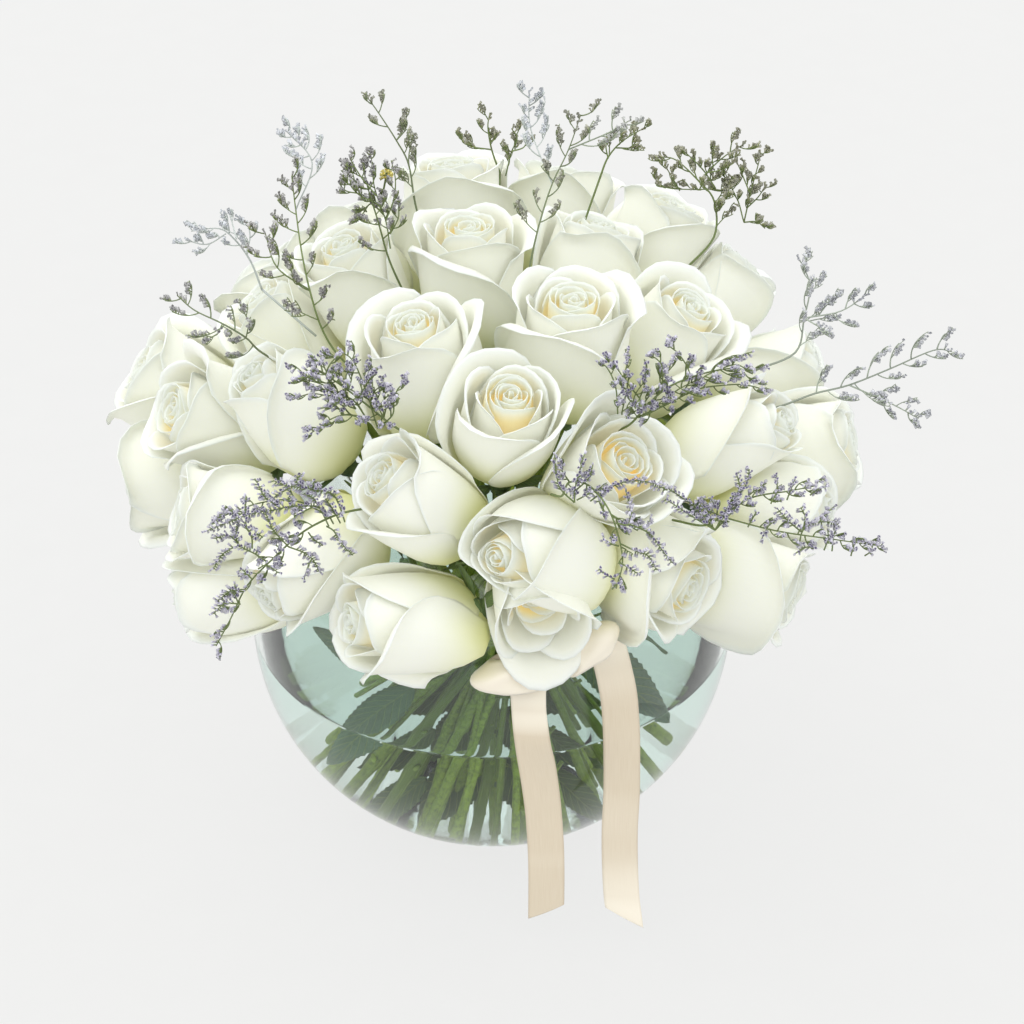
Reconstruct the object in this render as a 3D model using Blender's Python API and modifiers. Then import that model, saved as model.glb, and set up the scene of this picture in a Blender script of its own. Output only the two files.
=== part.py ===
"""White roses and sea lavender tied in a spiral bunch, standing in a round glass bowl of water.

Frame: +Z up, front towards -Y, origin on the table under the centre of the bowl's foot. Metres.
Azimuths are in degrees round +Z, from the front (-Y) towards +X.
"""

import math

import bmesh
import bpy
from mathutils import Matrix, Vector

# ---- driving dimensions ----
GAP = 0.0003                    # kept between solids that touch

BOWL_RADIUS = 0.125
BOWL_CENTRE_Z = 0.115           # the sphere is cut flat by the table, which leaves the foot
BOWL_WALL = 0.0035
BOWL_FLOOR = 0.006
MOUTH_RADIUS = 0.0775
WATER_LEVEL = 0.112
WATER_RINGS = 8                 # rings of points up the wetted part of the wall

ROSE_LENGTH = 0.071             # from the receptacle to the mouth of the bloom
ROSE_RADIUS = 0.0300
ROSE_OUTLINE = (                # share of the radius, share of the length
    (0.24, 0.0), (0.62, 0.12), (0.93, 0.34), (1.0, 0.56), (0.9, 0.8), (0.66, 0.97), (0.0, 1.0),
)
AXIS_FROM, AXIS_TO = 0.35, 0.8  # stretch of the bloom's axis that its width is measured from
BAR_MARGIN = 1.25               # room for the corners of a stem or stalk, as a share of its radius

STEM_RADIUS = 0.0023
POCKET_RADIUS = (STEM_RADIUS + GAP) / math.cos(math.radians(30))    # its flats clear a stem's corners
WAIST = Vector((-0.006, -0.014, 0.120))     # the tie, a little forward of the bowl's axis
WAIST_RINGS = ((1, 0.0), (7, 0.0075), (13, 0.014), (20, 0.021))     # stems in the ring, its radius
STEM_FEET = (                   # reach and height of each ring's cut ends
    (0.0, 0.012), (0.026, 0.011), (0.052, 0.016), (0.076, 0.030),
)
TIE_RADIUS = 0.0270
TIE_HEIGHT = 0.008
NECK_GAP = 0.0012               # between a stem's flat end and its bloom
SPIRAL = 71.0                   # how far a stem turns round the bunch between tie and bloom
RIM_CROSSING = (0.073, 0.223)   # reach and height at which a stem passes over the rim

RIBBON_WIDTH = 0.018
RIBBON_THICKNESS = 0.0006
KNOT_RADIUS = 0.0055
LOOP_POINTS = 14
# The bow's loops leave its knot for their tips; each puffs out from the glass. Millimetres.
BOW_KNOT = (28, -119, 167)
BOW_TIPS = ((-10, -127, 162), (56, -108, 181))
LOOP_PUFF = 0.006
# Centre lines of the two tails, from the knot down the glass to the table, and how each turns.
TAIL_LEFT = ((17, -125, 157), (17.5, -127, 146), (19, -129, 130), (22, -130, 109), (24.5, -130, 86),
             (26, -129.5, 62), (26.5, -129, 42), (26.5, -128.5, 18))
TAIL_RIGHT = ((55, -110, 168), (58, -114, 150), (61, -118, 130), (63, -121, 110), (63.5, -122, 88),
              (63, -122, 65), (63.5, -123, 42), (66, -124, 11))

# Each bloom: azimuth, reach and height of its mouth, then the azimuth and lift of its axis.
# Reach and height in millimetres. The rows run from the crown down to the skirt over the rim.
BLOOMS = (
    (-165, 42, 325, 180, 87), (50, 52, 325, 40, 84), (-38, 62, 320, -60, 78),
    (-118, 86, 313, -95, 72), (137, 82, 314, 137, 70), (6, 96, 308, 14, 70),
    (87, 102, 302, 80, 58), (-170, 112, 324, -170, 74),
    (-70, 124, 287, -85, 52), (-108, 126, 284, -98, 52), (-27, 122, 272, -80, 42),
    (31, 130, 282, 45, 48), (134, 136, 307, 122, 62), (122, 158, 278, 115, 45),
    (71, 152, 262, 80, 36), (-80, 164, 257, -70, 30), (0, 140, 244, -40, 26),
    (164, 148, 303, 165, 60), (-150, 150, 284, -150, 48), (-128, 150, 272, -128, 42),
    (-103, 190, 240, -95, 35), (-66, 172, 224, -85, 14), (105, 174, 242, 92, 28),
    (91, 187, 216, 85, 16), (69, 178, 217, 73, 8),
    (145, 182, 244, 145, 28), (170, 184, 242, 170, 26), (-165, 184, 241, -165, 25),
    (-138, 186, 238, -138, 25),
    (-26, 162, 211, -64, 12), (-43, 160, 204, -50, -13), (-61, 178, 181, -76, -9),
    (9, 157, 202, 6, -19), (38, 160, 212, 50, -4), (59, 178, 186, 68, -10),
    (118, 188, 199, 118, 0), (148, 187, 193, 148, -4), (178, 188, 194, 178, -3),
    (-152, 188, 195, -152, -3), (-122, 188, 197, -122, -3), (-90, 188, 195, -90, -4),
)

# Each sprig of sea lavender: its main stalk, then side twigs that leave it at a numbered point.
# Points are x, y, z in millimetres, from where the stalk comes out between the blooms.
SPRIGS = {
    "limonium_front_left": (
        ((-47, -97, 290), (-54, -106, 303), (-66, -101, 311), (-79, -92, 315), (-93, -88, 310)),
        ((1, (-62, -94, 320), (-73, -82, 324)), (1, (-48, -102, 316)), (2, (-80, -103, 306))),
    ),
    "limonium_left_low": (
        ((-65, -125, 260), (-73, -137, 265), (-86, -142, 260), (-99, -146, 249), (-112, -147, 234),
         (-121, -146, 214), (-131, -143, 192)),
        ((1, (-89, -134, 272), (-106, -133, 270), (-132, -130, 257)), (3, (-92, -152, 258))),
    ),
    "limonium_left_tall": (
        ((-72, -50, 298), (-79, -58, 318), (-84, -54, 336), (-88, -41, 350), (-91, -24, 362),
         (-94, -5, 376)),
        ((2, (-99, -50, 346), (-107, -28, 358)), (4, (-84, 0, 374), (-100, 42, 372))),
    ),
    "limonium_back_left": (
        ((-49, 6, 318), (-54, 11, 336), (-59, 23, 348), (-64, 40, 362)),
        ((2, (-69, 18, 354), (-74, 28, 358)),),
    ),
    "limonium_far_left": (
        ((-110, -36, 292), (-116, -43, 304), (-127, -40, 310), (-141, -29, 311), (-154, -14, 314)),
        ((1, (-112, -40, 320)), (2, (-131, -52, 306))),
    ),
    "limonium_top_left": (
        ((-38, 76, 312), (-41, 80, 332), (-47, 83, 344), (-56, 92, 355), (-66, 101, 366)),
        ((2, (-38, 80, 356)),),
    ),
    "limonium_top": (
        ((20, 6, 320), (24, 10, 337), (30, 22, 351), (38, 31, 365), (46, 43, 384)),
        ((2, (20, 46, 368), (19, 62, 388)), (3, (59, 44, 368), (74, 52, 374))),
    ),
    "limonium_back_right": (
        ((112, 52, 305), (112, 58, 322), (104, 61, 332), (93, 68, 340), (79, 71, 342)),
        ((2, (116, 70, 340), (133, 78, 348)), (1, (126, 60, 326))),
    ),
    "limonium_right_high": (
        ((150, -2, 270), (154, 4, 286), (157, 14, 299), (150, 29, 312)),
        ((1, (172, 4, 290), (191, 14, 298)), (1, (171, -6, 280))),
    ),
    "limonium_far_right": (
        ((140, -42, 264), (155, -44, 272), (172, -41, 275), (192, -33, 279), (214, -24, 284),
         (229, -26, 284)),
        ((2, (193, -44, 266), (211, -50, 258)),),
    ),
    "limonium_front_right": (
        ((64, -93, 286), (71, -101, 301), (81, -96, 308), (96, -88, 310), (113, -76, 306),
         (127, -71, 298)),
        ((1, (61, -97, 313), (54, -86, 320)), (2, (78, -84, 317))),
    ),
    "limonium_arching": (
        ((32, -131, 272), (35, -141, 286), (44, -149, 289), (53, -161, 282), (58, -172, 266),
         (54, -180, 248)),
        ((1, (27, -137, 298)), (3, (70, -165, 272))),
    ),
    "limonium_right_low": (
        ((98, -119, 247), (105, -131, 260), (119, -123, 265), (138, -110, 260), (157, -92, 252)),
        ((1, (131, -128, 250), (160, -112, 234), (190, -96, 218)), (1, (90, -137, 273))),
    ),
}
TWIG_RADIUS = 0.0009
SPRIG_ROOT = 0.022              # how far a stalk is rooted below the point where it comes out
SPRIG_HEART = Vector((0, 0, 0.19))      # what the stalks grow away from
SPRIG_RADIUS = 0.0011


def colour(red, green, blue):
    """A linear colour from its sRGB parts, 0 to 255."""
    def linear(part):
        part /= 255
        return part / 12.92 if part <= 0.04045 else ((part + 0.055) / 1.055) ** 2.4
    return (linear(red), linear(green), linear(blue), 1.0)


def material(name, base, roughness, transmission=0.0):
    made = bpy.data.materials.new(name)
    made.use_nodes = True
    shader = made.node_tree.nodes["Principled BSDF"]
    shader.inputs["Base Color"].default_value = base
    shader.inputs["Roughness"].default_value = roughness
    shader.inputs["Transmission Weight"].default_value = transmission
    made.diffuse_color = base
    return made


def new_collection(name):
    made = bpy.data.collections.new(name)
    bpy.context.scene.collection.children.link(made)
    return made


def add_object(name, data, finish, collection):
    made = bpy.data.objects.new(name, data)
    collection.objects.link(made)
    if finish:
        data.materials.append(finish)
    return made


def as_cutter(made):
    made.hide_render = True
    made.display_type = "WIRE"
    return made


def solid_mesh(source, name):
    """The evaluated mesh of an object, welded, in place of the object itself."""
    depsgraph = bpy.context.evaluated_depsgraph_get()
    mesh = bpy.data.meshes.new_from_object(source.evaluated_get(depsgraph))
    mesh.name = name
    shape = bmesh.new()
    shape.from_mesh(mesh)
    bmesh.ops.remove_doubles(shape, verts=shape.verts, dist=1e-6)
    shape.to_mesh(mesh)
    shape.free()
    mesh.transform(source.matrix_world)
    bpy.data.objects.remove(source)
    return mesh


def heading(azimuth, lift=0.0):
    """The unit vector at an azimuth and a lift above the horizontal, both in degrees."""
    around, up = math.radians(azimuth), math.radians(lift)
    return Vector((math.sin(around) * math.cos(up), -math.cos(around) * math.cos(up), math.sin(up)))


def place(azimuth, reach, height):
    return heading(azimuth) * reach + Vector((0, 0, height))


def turned(name, outline, steps, finish, collection):
    """A solid of revolution about Z from (radius, height) points that run down its outer side."""
    mesh = bpy.data.meshes.new(name)
    mesh.from_pydata([(r, 0, z) for r, z in outline], [(i, i + 1) for i in range(len(outline) - 1)], [])
    made = add_object(name, mesh, finish, collection)
    screw = made.modifiers.new("Turn", "SCREW")
    screw.steps = screw.render_steps = steps
    screw.use_merge_vertices = True
    screw.merge_threshold = 0.00001
    screw.use_smooth_shade = True
    return made


# ---- bowl and water ----
def sphere_arc(radius, low, high, count):
    """Points up a sphere about the bowl's centre, spaced evenly between two angles of latitude."""
    angles = [low + (high - low) * i / (count - 1) for i in range(count)]
    return [(radius * math.cos(a), BOWL_CENTRE_Z + radius * math.sin(a)) for a in angles]


def latitude(height, radius):
    return math.asin((height - BOWL_CENTRE_Z) / radius)


def rim_height():
    return BOWL_CENTRE_Z + math.sqrt(BOWL_RADIUS ** 2 - MOUTH_RADIUS ** 2)


def inner_latitudes():
    """Where the inside of the bowl leaves its floor, meets the water and ends under the lip."""
    inner = BOWL_RADIUS - BOWL_WALL
    return [latitude(z, inner) for z in (BOWL_FLOOR, WATER_LEVEL, rim_height() - BOWL_WALL / 2)]


def make_bowl(collection, glass):
    inner = BOWL_RADIUS - BOWL_WALL
    rim = rim_height()
    floor, water, top = inner_latitudes()
    lip = (MOUTH_RADIUS - BOWL_WALL / 2, rim + BOWL_WALL / 2)
    outline = [(0.0, BOWL_FLOOR)] + sphere_arc(inner, floor, water, WATER_RINGS)
    outline += sphere_arc(inner, water, top, 6)[1:] + [lip]
    outline += sphere_arc(BOWL_RADIUS, latitude(0.0, BOWL_RADIUS), latitude(rim, BOWL_RADIUS), 13)[::-1]
    outline += [(0.0, 0.0)]
    return turned("glass_bowl", outline, 40, glass, collection)


def make_water(collection, water, pockets):
    floor, level, _ = inner_latitudes()
    side = sphere_arc(BOWL_RADIUS - BOWL_WALL - GAP, floor, level, WATER_RINGS)[::-1]
    outline = [(0.0, side[0][1])] + side + [(0.0, side[-1][1])]
    made = turned("water", outline, 40, water, collection)
    cut = made.modifiers.new("Stem pockets", "BOOLEAN")
    cut.operation = "DIFFERENCE"
    cut.object = pockets
    cut.use_self = True
    return made


# ---- blooms ----
def bloom_axes():
    """Each bloom's receptacle, mouth and axis."""
    found = []
    for azimuth, reach, height, aim, lift in BLOOMS:
        mouth = place(azimuth, reach / 1000, height / 1000)
        along = heading(aim, lift)
        found.append((mouth - along * ROSE_LENGTH, mouth, along))
    return found


def closest(a0, a1, b0, b1):
    """The nearest points of two line segments."""
    d1, d2, between = a1 - a0, b1 - b0, a0 - b0
    a, e, b = d1.length_squared, d2.length_squared, d1.dot(d2)
    c, f = d1.dot(between), d2.dot(between)
    spread = a * e - b * b
    s = min(max((b * f - c * e) / spread, 0.0), 1.0) if spread > 1e-12 else 0.0
    t = (b * s + f) / e
    if not 0.0 <= t <= 1.0:
        t = min(max(t, 0.0), 1.0)
        s = min(max((b * t - c) / a, 0.0), 1.0)
    return a0 + d1 * s, b0 + d2 * t


def girdle(axis):
    """The stretch of a bloom's axis that its widest part lies along."""
    receptacle, mouth, _ = axis
    return receptacle.lerp(mouth, AXIS_FROM), receptacle.lerp(mouth, AXIS_TO)


def trim(shape, point, outward):
    """Cut away what lies beyond a plane and close the cut."""
    whole = shape.verts[:] + shape.edges[:] + shape.faces[:]
    bmesh.ops.bisect_plane(
        shape, geom=whole, dist=1e-6, plane_co=point, plane_no=outward, clear_outer=True,
    )
    edges = [edge for edge in shape.edges if edge.is_boundary]
    if edges:
        bmesh.ops.holes_fill(shape, edges=edges, sides=0)


def make_blooms(collection, petal, axes, routes, stalks):
    """One bloom per axis: an egg-shaped body, flattened where it presses on its neighbours."""
    bars = [(i, a, b, STEM_RADIUS) for i, (upper, _) in enumerate(routes) for a, b in zip(upper, upper[1:])]
    bars += [(None, a, b, SPRIG_RADIUS) for a, b in stalks]
    outline = [(r * ROSE_RADIUS, z * ROSE_LENGTH) for r, z in ROSE_OUTLINE][::-1] + [(0.0, 0.0)]
    body = solid_mesh(turned("bloom_body", outline, 10, None, collection), "bloom_body")
    centre = Vector((0, 0, BOWL_CENTRE_Z))
    for number, axis in enumerate(axes, 1):
        receptacle, mouth, along = axis
        low, high = girdle(axis)
        stand = Matrix.Translation(receptacle) @ along.to_track_quat("Z", "Y").to_matrix().to_4x4()
        shape = bmesh.new()
        shape.from_mesh(body)
        bmesh.ops.transform(shape, matrix=stand, verts=shape.verts)
        for other in axes:
            if other is axis:
                continue
            here, there = closest(low, high, *girdle(other))
            away = there - here
            if away.length < 2 * ROSE_RADIUS + GAP:
                middle = (here + there) / 2 - away.normalized() * GAP / 2
                trim(shape, middle, away.normalized())
        for owner, start, end, radius in bars:
            here, there = closest(low, high, start, end)
            away = there - here
            if owner != number - 1 and away.length < ROSE_RADIUS + radius + GAP:
                trim(shape, there - away.normalized() * (radius * BAR_MARGIN + GAP), away.normalized())
        nearest = min((low, high), key=lambda point: (point - centre).length)
        if (nearest - centre).length < BOWL_RADIUS + ROSE_RADIUS + GAP:
            inward = (centre - nearest).normalized()
            trim(shape, centre - inward * (BOWL_RADIUS + GAP), inward)
        bmesh.ops.dissolve_degenerate(shape, dist=1e-5, edges=shape.edges)
        bmesh.ops.recalc_face_normals(shape, faces=shape.faces)
        mesh = bpy.data.meshes.new(f"rose_{number:02d}")
        shape.to_mesh(mesh)
        shape.free()
        mesh.shade_smooth()
        mesh.set_sharp_from_angle(angle=math.radians(35))
        add_object(mesh.name, mesh, petal, collection)
    bpy.data.meshes.remove(body)


# ---- stems ----
def smooth_route(points, per_span):
    """Points of a Catmull-Rom curve through the given ones."""
    ends = [points[0] * 2 - points[1]] + points + [points[-1] * 2 - points[-2]]
    route = []
    for a, b, c, d in zip(ends, ends[1:], ends[2:], ends[3:]):
        for step in range(per_span):
            t = step / per_span
            route.append(0.5 * (2 * b + (c - a) * t + (2 * a - 5 * b + 4 * c - d) * t * t
                                + (3 * b - a - 3 * c + d) * t * t * t))
    return route + [points[-1]]


def stem_routes(axes):
    """For each bloom its stem: curved from bloom to tie, then straight to the cut end.

    The highest blooms take the middle of the bunch, and each ring is filled in order of
    azimuth, so all stems lean the same way round.
    """
    order = sorted(range(len(axes)), key=lambda i: -axes[i][1].z)
    routes = {}
    for (count, waist), (foot_reach, foot_z) in zip(WAIST_RINGS, STEM_FEET):
        ring, order = order[:count], order[count:]
        ring.sort(key=lambda i: math.atan2(axes[i][0].x, -axes[i][0].y))
        for slot, index in enumerate(ring):
            receptacle, _, along = axes[index]
            azimuth = 360.0 * slot / count - 180.0 + 180.0 / count
            knot = WAIST + heading(azimuth - SPIRAL) * waist
            turn = math.degrees(math.acos(waist / foot_reach)) if waist else 0.0
            foot = place(azimuth - SPIRAL - turn, foot_reach, foot_z)
            if not waist:
                foot += Vector((WAIST.x, WAIST.y, 0))
            rise = (knot - foot).normalized()
            top = receptacle - along * NECK_GAP
            neck = top - along * 0.012
            via = [neck]
            reach = math.hypot(neck.x, neck.y)
            if reach > RIM_CROSSING[0]:
                over = Vector((neck.x, neck.y, 0)) * (RIM_CROSSING[0] / reach)
                via.append(over + Vector((0, 0, RIM_CROSSING[1])))
            via += [knot + rise * 0.03, knot]
            routes[index] = ([top] + smooth_route(via, 2), foot)
    return [routes[i] for i in range(len(axes))]


def tube(name, points, radius, collection):
    """A round bar with flat ends along points, as a mesh object."""
    data = bpy.data.curves.new(name, "CURVE")
    data.dimensions = "3D"
    data.bevel_depth = radius
    data.bevel_resolution = 1
    data.use_fill_caps = True
    line = data.splines.new("POLY")
    line.points.add(len(points) - 1)
    for spot, point in zip(line.points, points):
        spot.co = (*point, 1.0)
    made = add_object(name, data, None, collection)
    return add_object(name, solid_mesh(made, name), None, collection)


def make_stems(collection, stem, routes):
    """All stems joined at the tie, as one body."""
    cylinder = bpy.data.meshes.new("rose_stems")
    shape = bmesh.new()
    bmesh.ops.create_cone(
        shape, cap_ends=True, segments=24, radius1=TIE_RADIUS, radius2=TIE_RADIUS, depth=TIE_HEIGHT,
    )
    shape.to_mesh(cylinder)
    shape.free()
    made = add_object("rose_stems", cylinder, stem, collection)
    made.location = WAIST
    stems = new_collection("stem_cutters")
    for number, (upper, foot) in enumerate(routes, 1):
        as_cutter(tube(f"stem_{number:02d}", upper + [foot], STEM_RADIUS, stems))
    join = made.modifiers.new("Stems", "BOOLEAN")
    join.operation = "UNION"
    join.operand_type = "COLLECTION"
    join.collection = stems
    join.use_self = True
    bpy.context.view_layer.update()
    mesh = solid_mesh(made, "rose_stems")
    keep_largest(mesh)
    return add_object("rose_stems", mesh, None, collection)


def keep_largest(mesh):
    """Drop the slivers that crossing stems shut in, which touch the rest along an edge at most."""
    shape = bmesh.new()
    shape.from_mesh(mesh)
    left, islands = set(shape.faces), []
    while left:
        island, edge_of = [], [left.pop()]
        while edge_of:
            face = edge_of.pop()
            island.append(face)
            plain = [edge for edge in face.edges if len(edge.link_faces) == 2]
            near = {other for edge in plain for other in edge.link_faces} & left
            left -= near
            edge_of += near
        islands.append(island)
    islands.sort(key=len)
    spare = [face for island in islands[:-1] for face in island]
    bmesh.ops.delete(shape, geom=spare, context="FACES")
    shape.to_mesh(mesh)
    shape.free()


def make_pockets(cutters, routes):
    """The room that the stems take in the water, as one cutter."""
    shape = bmesh.new()
    for upper, foot in routes:
        rise = (upper[-1] - foot).normalized()
        bar = tube("pocket", [upper[-1], foot - rise * GAP], POCKET_RADIUS, cutters)
        shape.from_mesh(bar.data)
        bpy.data.objects.remove(bar)
    mesh = bpy.data.meshes.new("stem_pockets")
    shape.to_mesh(mesh)
    shape.free()
    return as_cutter(add_object("stem_pockets", mesh, None, cutters))


# ---- sea lavender ----
def stalk_points(stalk):
    """A main stalk's points, with its root below where it comes out."""
    points = [Vector(p) / 1000 for p in stalk]
    return [points[0] + (SPRIG_HEART - points[0]).normalized() * SPRIG_ROOT] + points


def make_sprig(name, stalk, twigs, finish, collection, cutters):
    """A main stalk with its side twigs joined on."""
    points = stalk_points(stalk)
    made = tube(name, points, SPRIG_RADIUS, collection)
    made.data.materials.append(finish)
    for number, (start, *twig) in enumerate(twigs, 1):
        branch = [points[start + 1]] + [Vector(point) / 1000 for point in twig]
        join = made.modifiers.new("Twig", "BOOLEAN")
        join.operation = "UNION"
        join.object = as_cutter(tube(f"{name}_twig_{number}", branch, TWIG_RADIUS, cutters))
    return made


# ---- ribbon ----
def strip(name, path, across, finish, collection, loop=False):
    """A flat band along a path."""
    half = across * RIBBON_WIDTH / 2
    shape = bmesh.new()
    rows = [[shape.verts.new(p - half), shape.verts.new(p + half)] for p in path]
    for (a, b), (c, d) in list(zip(rows, rows[1:])) + ([(rows[-1], rows[0])] if loop else []):
        shape.faces.new((a, b, d, c))
    mesh = bpy.data.meshes.new(name)
    shape.to_mesh(mesh)
    shape.free()
    made = add_object(name, mesh, finish, collection)
    thick = made.modifiers.new("Thickness", "SOLIDIFY")
    thick.thickness = RIBBON_THICKNESS
    thick.offset = 0.0
    return made


def loop_path(knot, tip, outward):
    """An oval from the knot to the loop's tip and back, in the plane of outward."""
    along = tip - knot
    spots = []
    for step in range(LOOP_POINTS):
        turn = 2 * math.pi * (step + 0.5) / LOOP_POINTS
        reach = (1 - math.cos(turn)) / 2
        spots.append(knot + along * reach + outward * LOOP_PUFF * math.sin(turn))
    return spots


def make_ribbon(collection, satin, cutters):
    """The bow behind the lowest front bloom, and its two tails, which stop short of the table."""
    for name, points in (("ribbon_tail_left", TAIL_LEFT), ("ribbon_tail_right", TAIL_RIGHT)):
        strip(name, [Vector(p) / 1000 for p in points], Vector((1, 0, 0)), satin, collection)
    knot = Vector(BOW_KNOT) / 1000
    ball = bpy.data.meshes.new("ribbon_bow")
    shape = bmesh.new()
    bmesh.ops.create_uvsphere(shape, u_segments=12, v_segments=8, radius=KNOT_RADIUS)
    shape.to_mesh(ball)
    shape.free()
    made = add_object("ribbon_bow", ball, satin, collection)
    made.location = knot
    outward = Vector((knot.x, knot.y, knot.z - BOWL_CENTRE_Z)).normalized()
    for number, tip in enumerate(BOW_TIPS, 1):
        tip = Vector(tip) / 1000
        path = loop_path(knot, tip, outward)
        across = (tip - knot).cross(outward).normalized()
        join = made.modifiers.new("Loop", "BOOLEAN")
        join.operation = "UNION"
        join.object = as_cutter(strip(f"bow_loop_{number}", path, across, None, cutters, loop=True))


def build():
    for old in list(bpy.data.objects):
        bpy.data.objects.remove(old)
    arrangement = new_collection("rose_bowl_arrangement")
    cutters = new_collection("cutters")

    glass = material("clear_glass", colour(226, 236, 230), 0.02, 1.0)
    water = material("water", colour(214, 230, 222), 0.0, 1.0)
    petal = material("rose_petal", colour(248, 247, 236), 0.55)
    stem = material("rose_stem", colour(96, 128, 58), 0.5)
    spray = material("sea_lavender", colour(150, 146, 170), 0.8)
    satin = material("satin_ribbon", colour(229, 213, 188), 0.35)

    axes = bloom_axes()
    routes = stem_routes(axes)
    make_bowl(arrangement, glass)
    make_water(arrangement, water, make_pockets(cutters, routes))
    make_stems(arrangement, stem, routes)
    stalks = []
    for name, (stalk, twigs) in SPRIGS.items():
        make_sprig(name, stalk, twigs, spray, arrangement, cutters)
        points = stalk_points(stalk)
        stalks += list(zip(points, points[1:]))
    make_blooms(arrangement, petal, axes, routes, stalks)
    make_ribbon(arrangement, satin, cutters)


build()
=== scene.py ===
"""White roses and sea lavender in a round glass bowl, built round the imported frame.

Everything is in metres in the frame's own axes: +Z up, front towards -Y, the bowl's foot at the
origin. Azimuths are in degrees round +Z, from the front towards +X.
"""

import math
import random
from functools import partial
from types import SimpleNamespace

import bmesh
import bpy
import numpy as np
from bpy.props import FloatProperty, FloatVectorProperty, PointerProperty
from mathutils import Matrix, Vector


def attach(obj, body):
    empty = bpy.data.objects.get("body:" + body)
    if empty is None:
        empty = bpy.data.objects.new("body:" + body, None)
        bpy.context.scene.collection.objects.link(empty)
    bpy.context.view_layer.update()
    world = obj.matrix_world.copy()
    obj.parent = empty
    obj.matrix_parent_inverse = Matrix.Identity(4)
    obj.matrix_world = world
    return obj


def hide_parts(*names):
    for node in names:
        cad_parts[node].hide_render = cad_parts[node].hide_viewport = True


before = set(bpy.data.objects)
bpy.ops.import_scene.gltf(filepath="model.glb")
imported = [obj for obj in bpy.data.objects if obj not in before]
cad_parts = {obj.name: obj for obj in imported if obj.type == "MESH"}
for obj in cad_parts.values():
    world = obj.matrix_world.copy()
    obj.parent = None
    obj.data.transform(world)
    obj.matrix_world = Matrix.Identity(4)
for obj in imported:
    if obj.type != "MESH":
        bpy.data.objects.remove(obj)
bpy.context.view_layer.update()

bl_info = {
    "name": "Rose bowl arrangement",
    "version": (1, 0, 0),
    "blender": (4, 5, 0),
    "location": "View3D > Sidebar > Rose bowl",
    "description": "Makes the petals, sprigs, stems, glass, water and ribbon of a rose bowl",
    "category": "Add Mesh",
}

MM = 0.001

# ---- the bunch, as the frame has it ----
ROSE_LENGTH = 0.071             # from the receptacle to the mouth of a bloom
ROSE_RADIUS = 0.0300
AXIS_FROM, AXIS_TO = 0.35, 0.8  # stretch of a bloom's axis that its width is measured from
BOWL_RADIUS = 0.125
BOWL_CENTRE_Z = 0.115
BOWL_WALL = 0.0035
BOWL_FLOOR = 0.006
MOUTH_RADIUS = 0.0775
GLASS_INDEX = 1.5
WATER_INDEX = 1.13              # under water's own 1.33, so that less of the wall mirrors the stems
WATER_LEVEL = 0.112
STEM_RADIUS = 0.0023
WAIST = Vector((-0.006, -0.014, 0.120))     # the middle of the waist, where the stems cross
# Rings of stems at the waist, from the inmost out: how many, and the ring's radius; then the reach
# and the height of their cut ends.
WAIST_RINGS = ((1, 0.0), (7, 0.0075), (13, 0.014), (20, 0.021))
STEM_FEET = ((0.0, 0.012), (0.026, 0.011), (0.052, 0.016), (0.076, 0.030))
SPIRAL = 71.0                   # degrees that a stem has turned by the waist
NECK_GAP = 0.0012               # between a bloom and its stem in the frame
RIM_CROSSING = (0.073, 0.223)   # the reach and the height where the outer stems clear the lip
RIBBON_WIDTH = 0.018

# ---- where the camera stands ----
CAMERA_SPOT = (0.0, -1.2135, 0.9967)
CAMERA_AIM = (math.radians(90 - 34.12), 0.0, math.radians(-0.49))
KEY_FROM = (-115, 62)           # the azimuth and the lift that the main light comes from
FLOOR_GAP = 0.0002              # between the floor and the bowl's foot

# Each bloom: azimuth, reach and height of its mouth in millimetres, azimuth and lift of its axis,
# and its kind. The rows run from the crown down to the skirt over the rim.
BLOOMS = (
    (-165, 42, 325, 180, 87, "full"), (50, 52, 325, 40, 84, "full"),
    (-38, 62, 320, -60, 78, "half"), (-118, 86, 313, -95, 72, "half"),
    (137, 82, 314, 137, 70, "half"), (6, 96, 308, 14, 70, "half"),
    (87, 102, 302, 80, 58, "half"), (-170, 112, 324, -170, 74, "full"),
    (-70, 124, 287, -85, 52, "bud"), (-108, 126, 284, -98, 52, "half"),
    (-27, 122, 272, -80, 42, "half"), (31, 130, 282, 45, 48, "open"),
    (134, 136, 307, 122, 62, "full"), (122, 158, 278, 115, 45, "half"),
    (71, 152, 262, 80, 36, "bud"), (-80, 164, 257, -70, 30, "full"),
    (0, 140, 244, -40, 26, "ball"), (164, 148, 303, 165, 60, "full"),
    (-150, 150, 284, -150, 48, "half"), (-128, 150, 272, -128, 42, "full"),
    (-103, 190, 240, -95, 35, "full"), (-66, 172, 224, -85, 14, "full"),
    (105, 174, 242, 92, 28, "bud"), (91, 187, 216, 85, 16, "half"),
    (69, 178, 217, 73, 8, "bud"), (145, 182, 244, 145, 28, "half"),
    (170, 184, 242, 170, 26, "full"), (-165, 184, 241, -165, 25, "half"),
    (-138, 186, 238, -138, 25, "half"), (-26, 162, 211, -64, 12, "half"),
    (-43, 160, 204, -50, -13, "bud"), (-61, 178, 181, -76, -9, "bud"),
    (9, 157, 202, 6, -19, "blown"), (38, 160, 212, 50, -4, "full"),
    (59, 178, 186, 68, -10, "full"), (118, 188, 199, 118, 0, "half"),
    (148, 187, 193, 148, -4, "full"), (178, 188, 194, 178, -3, "half"),
    (-152, 188, 195, -152, -3, "bud"), (-122, 188, 197, -122, -3, "half"),
    (-90, 188, 195, -90, -4, "full"),
)


def linear(hex_colour):
    """A linear RGB triple from an sRGB hex value."""
    parts = [int(hex_colour[i:i + 2], 16) / 255 for i in (1, 3, 5)]
    return tuple(p / 12.92 if p <= 0.04045 else ((p + 0.055) / 1.055) ** 2.4 for p in parts)


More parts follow.
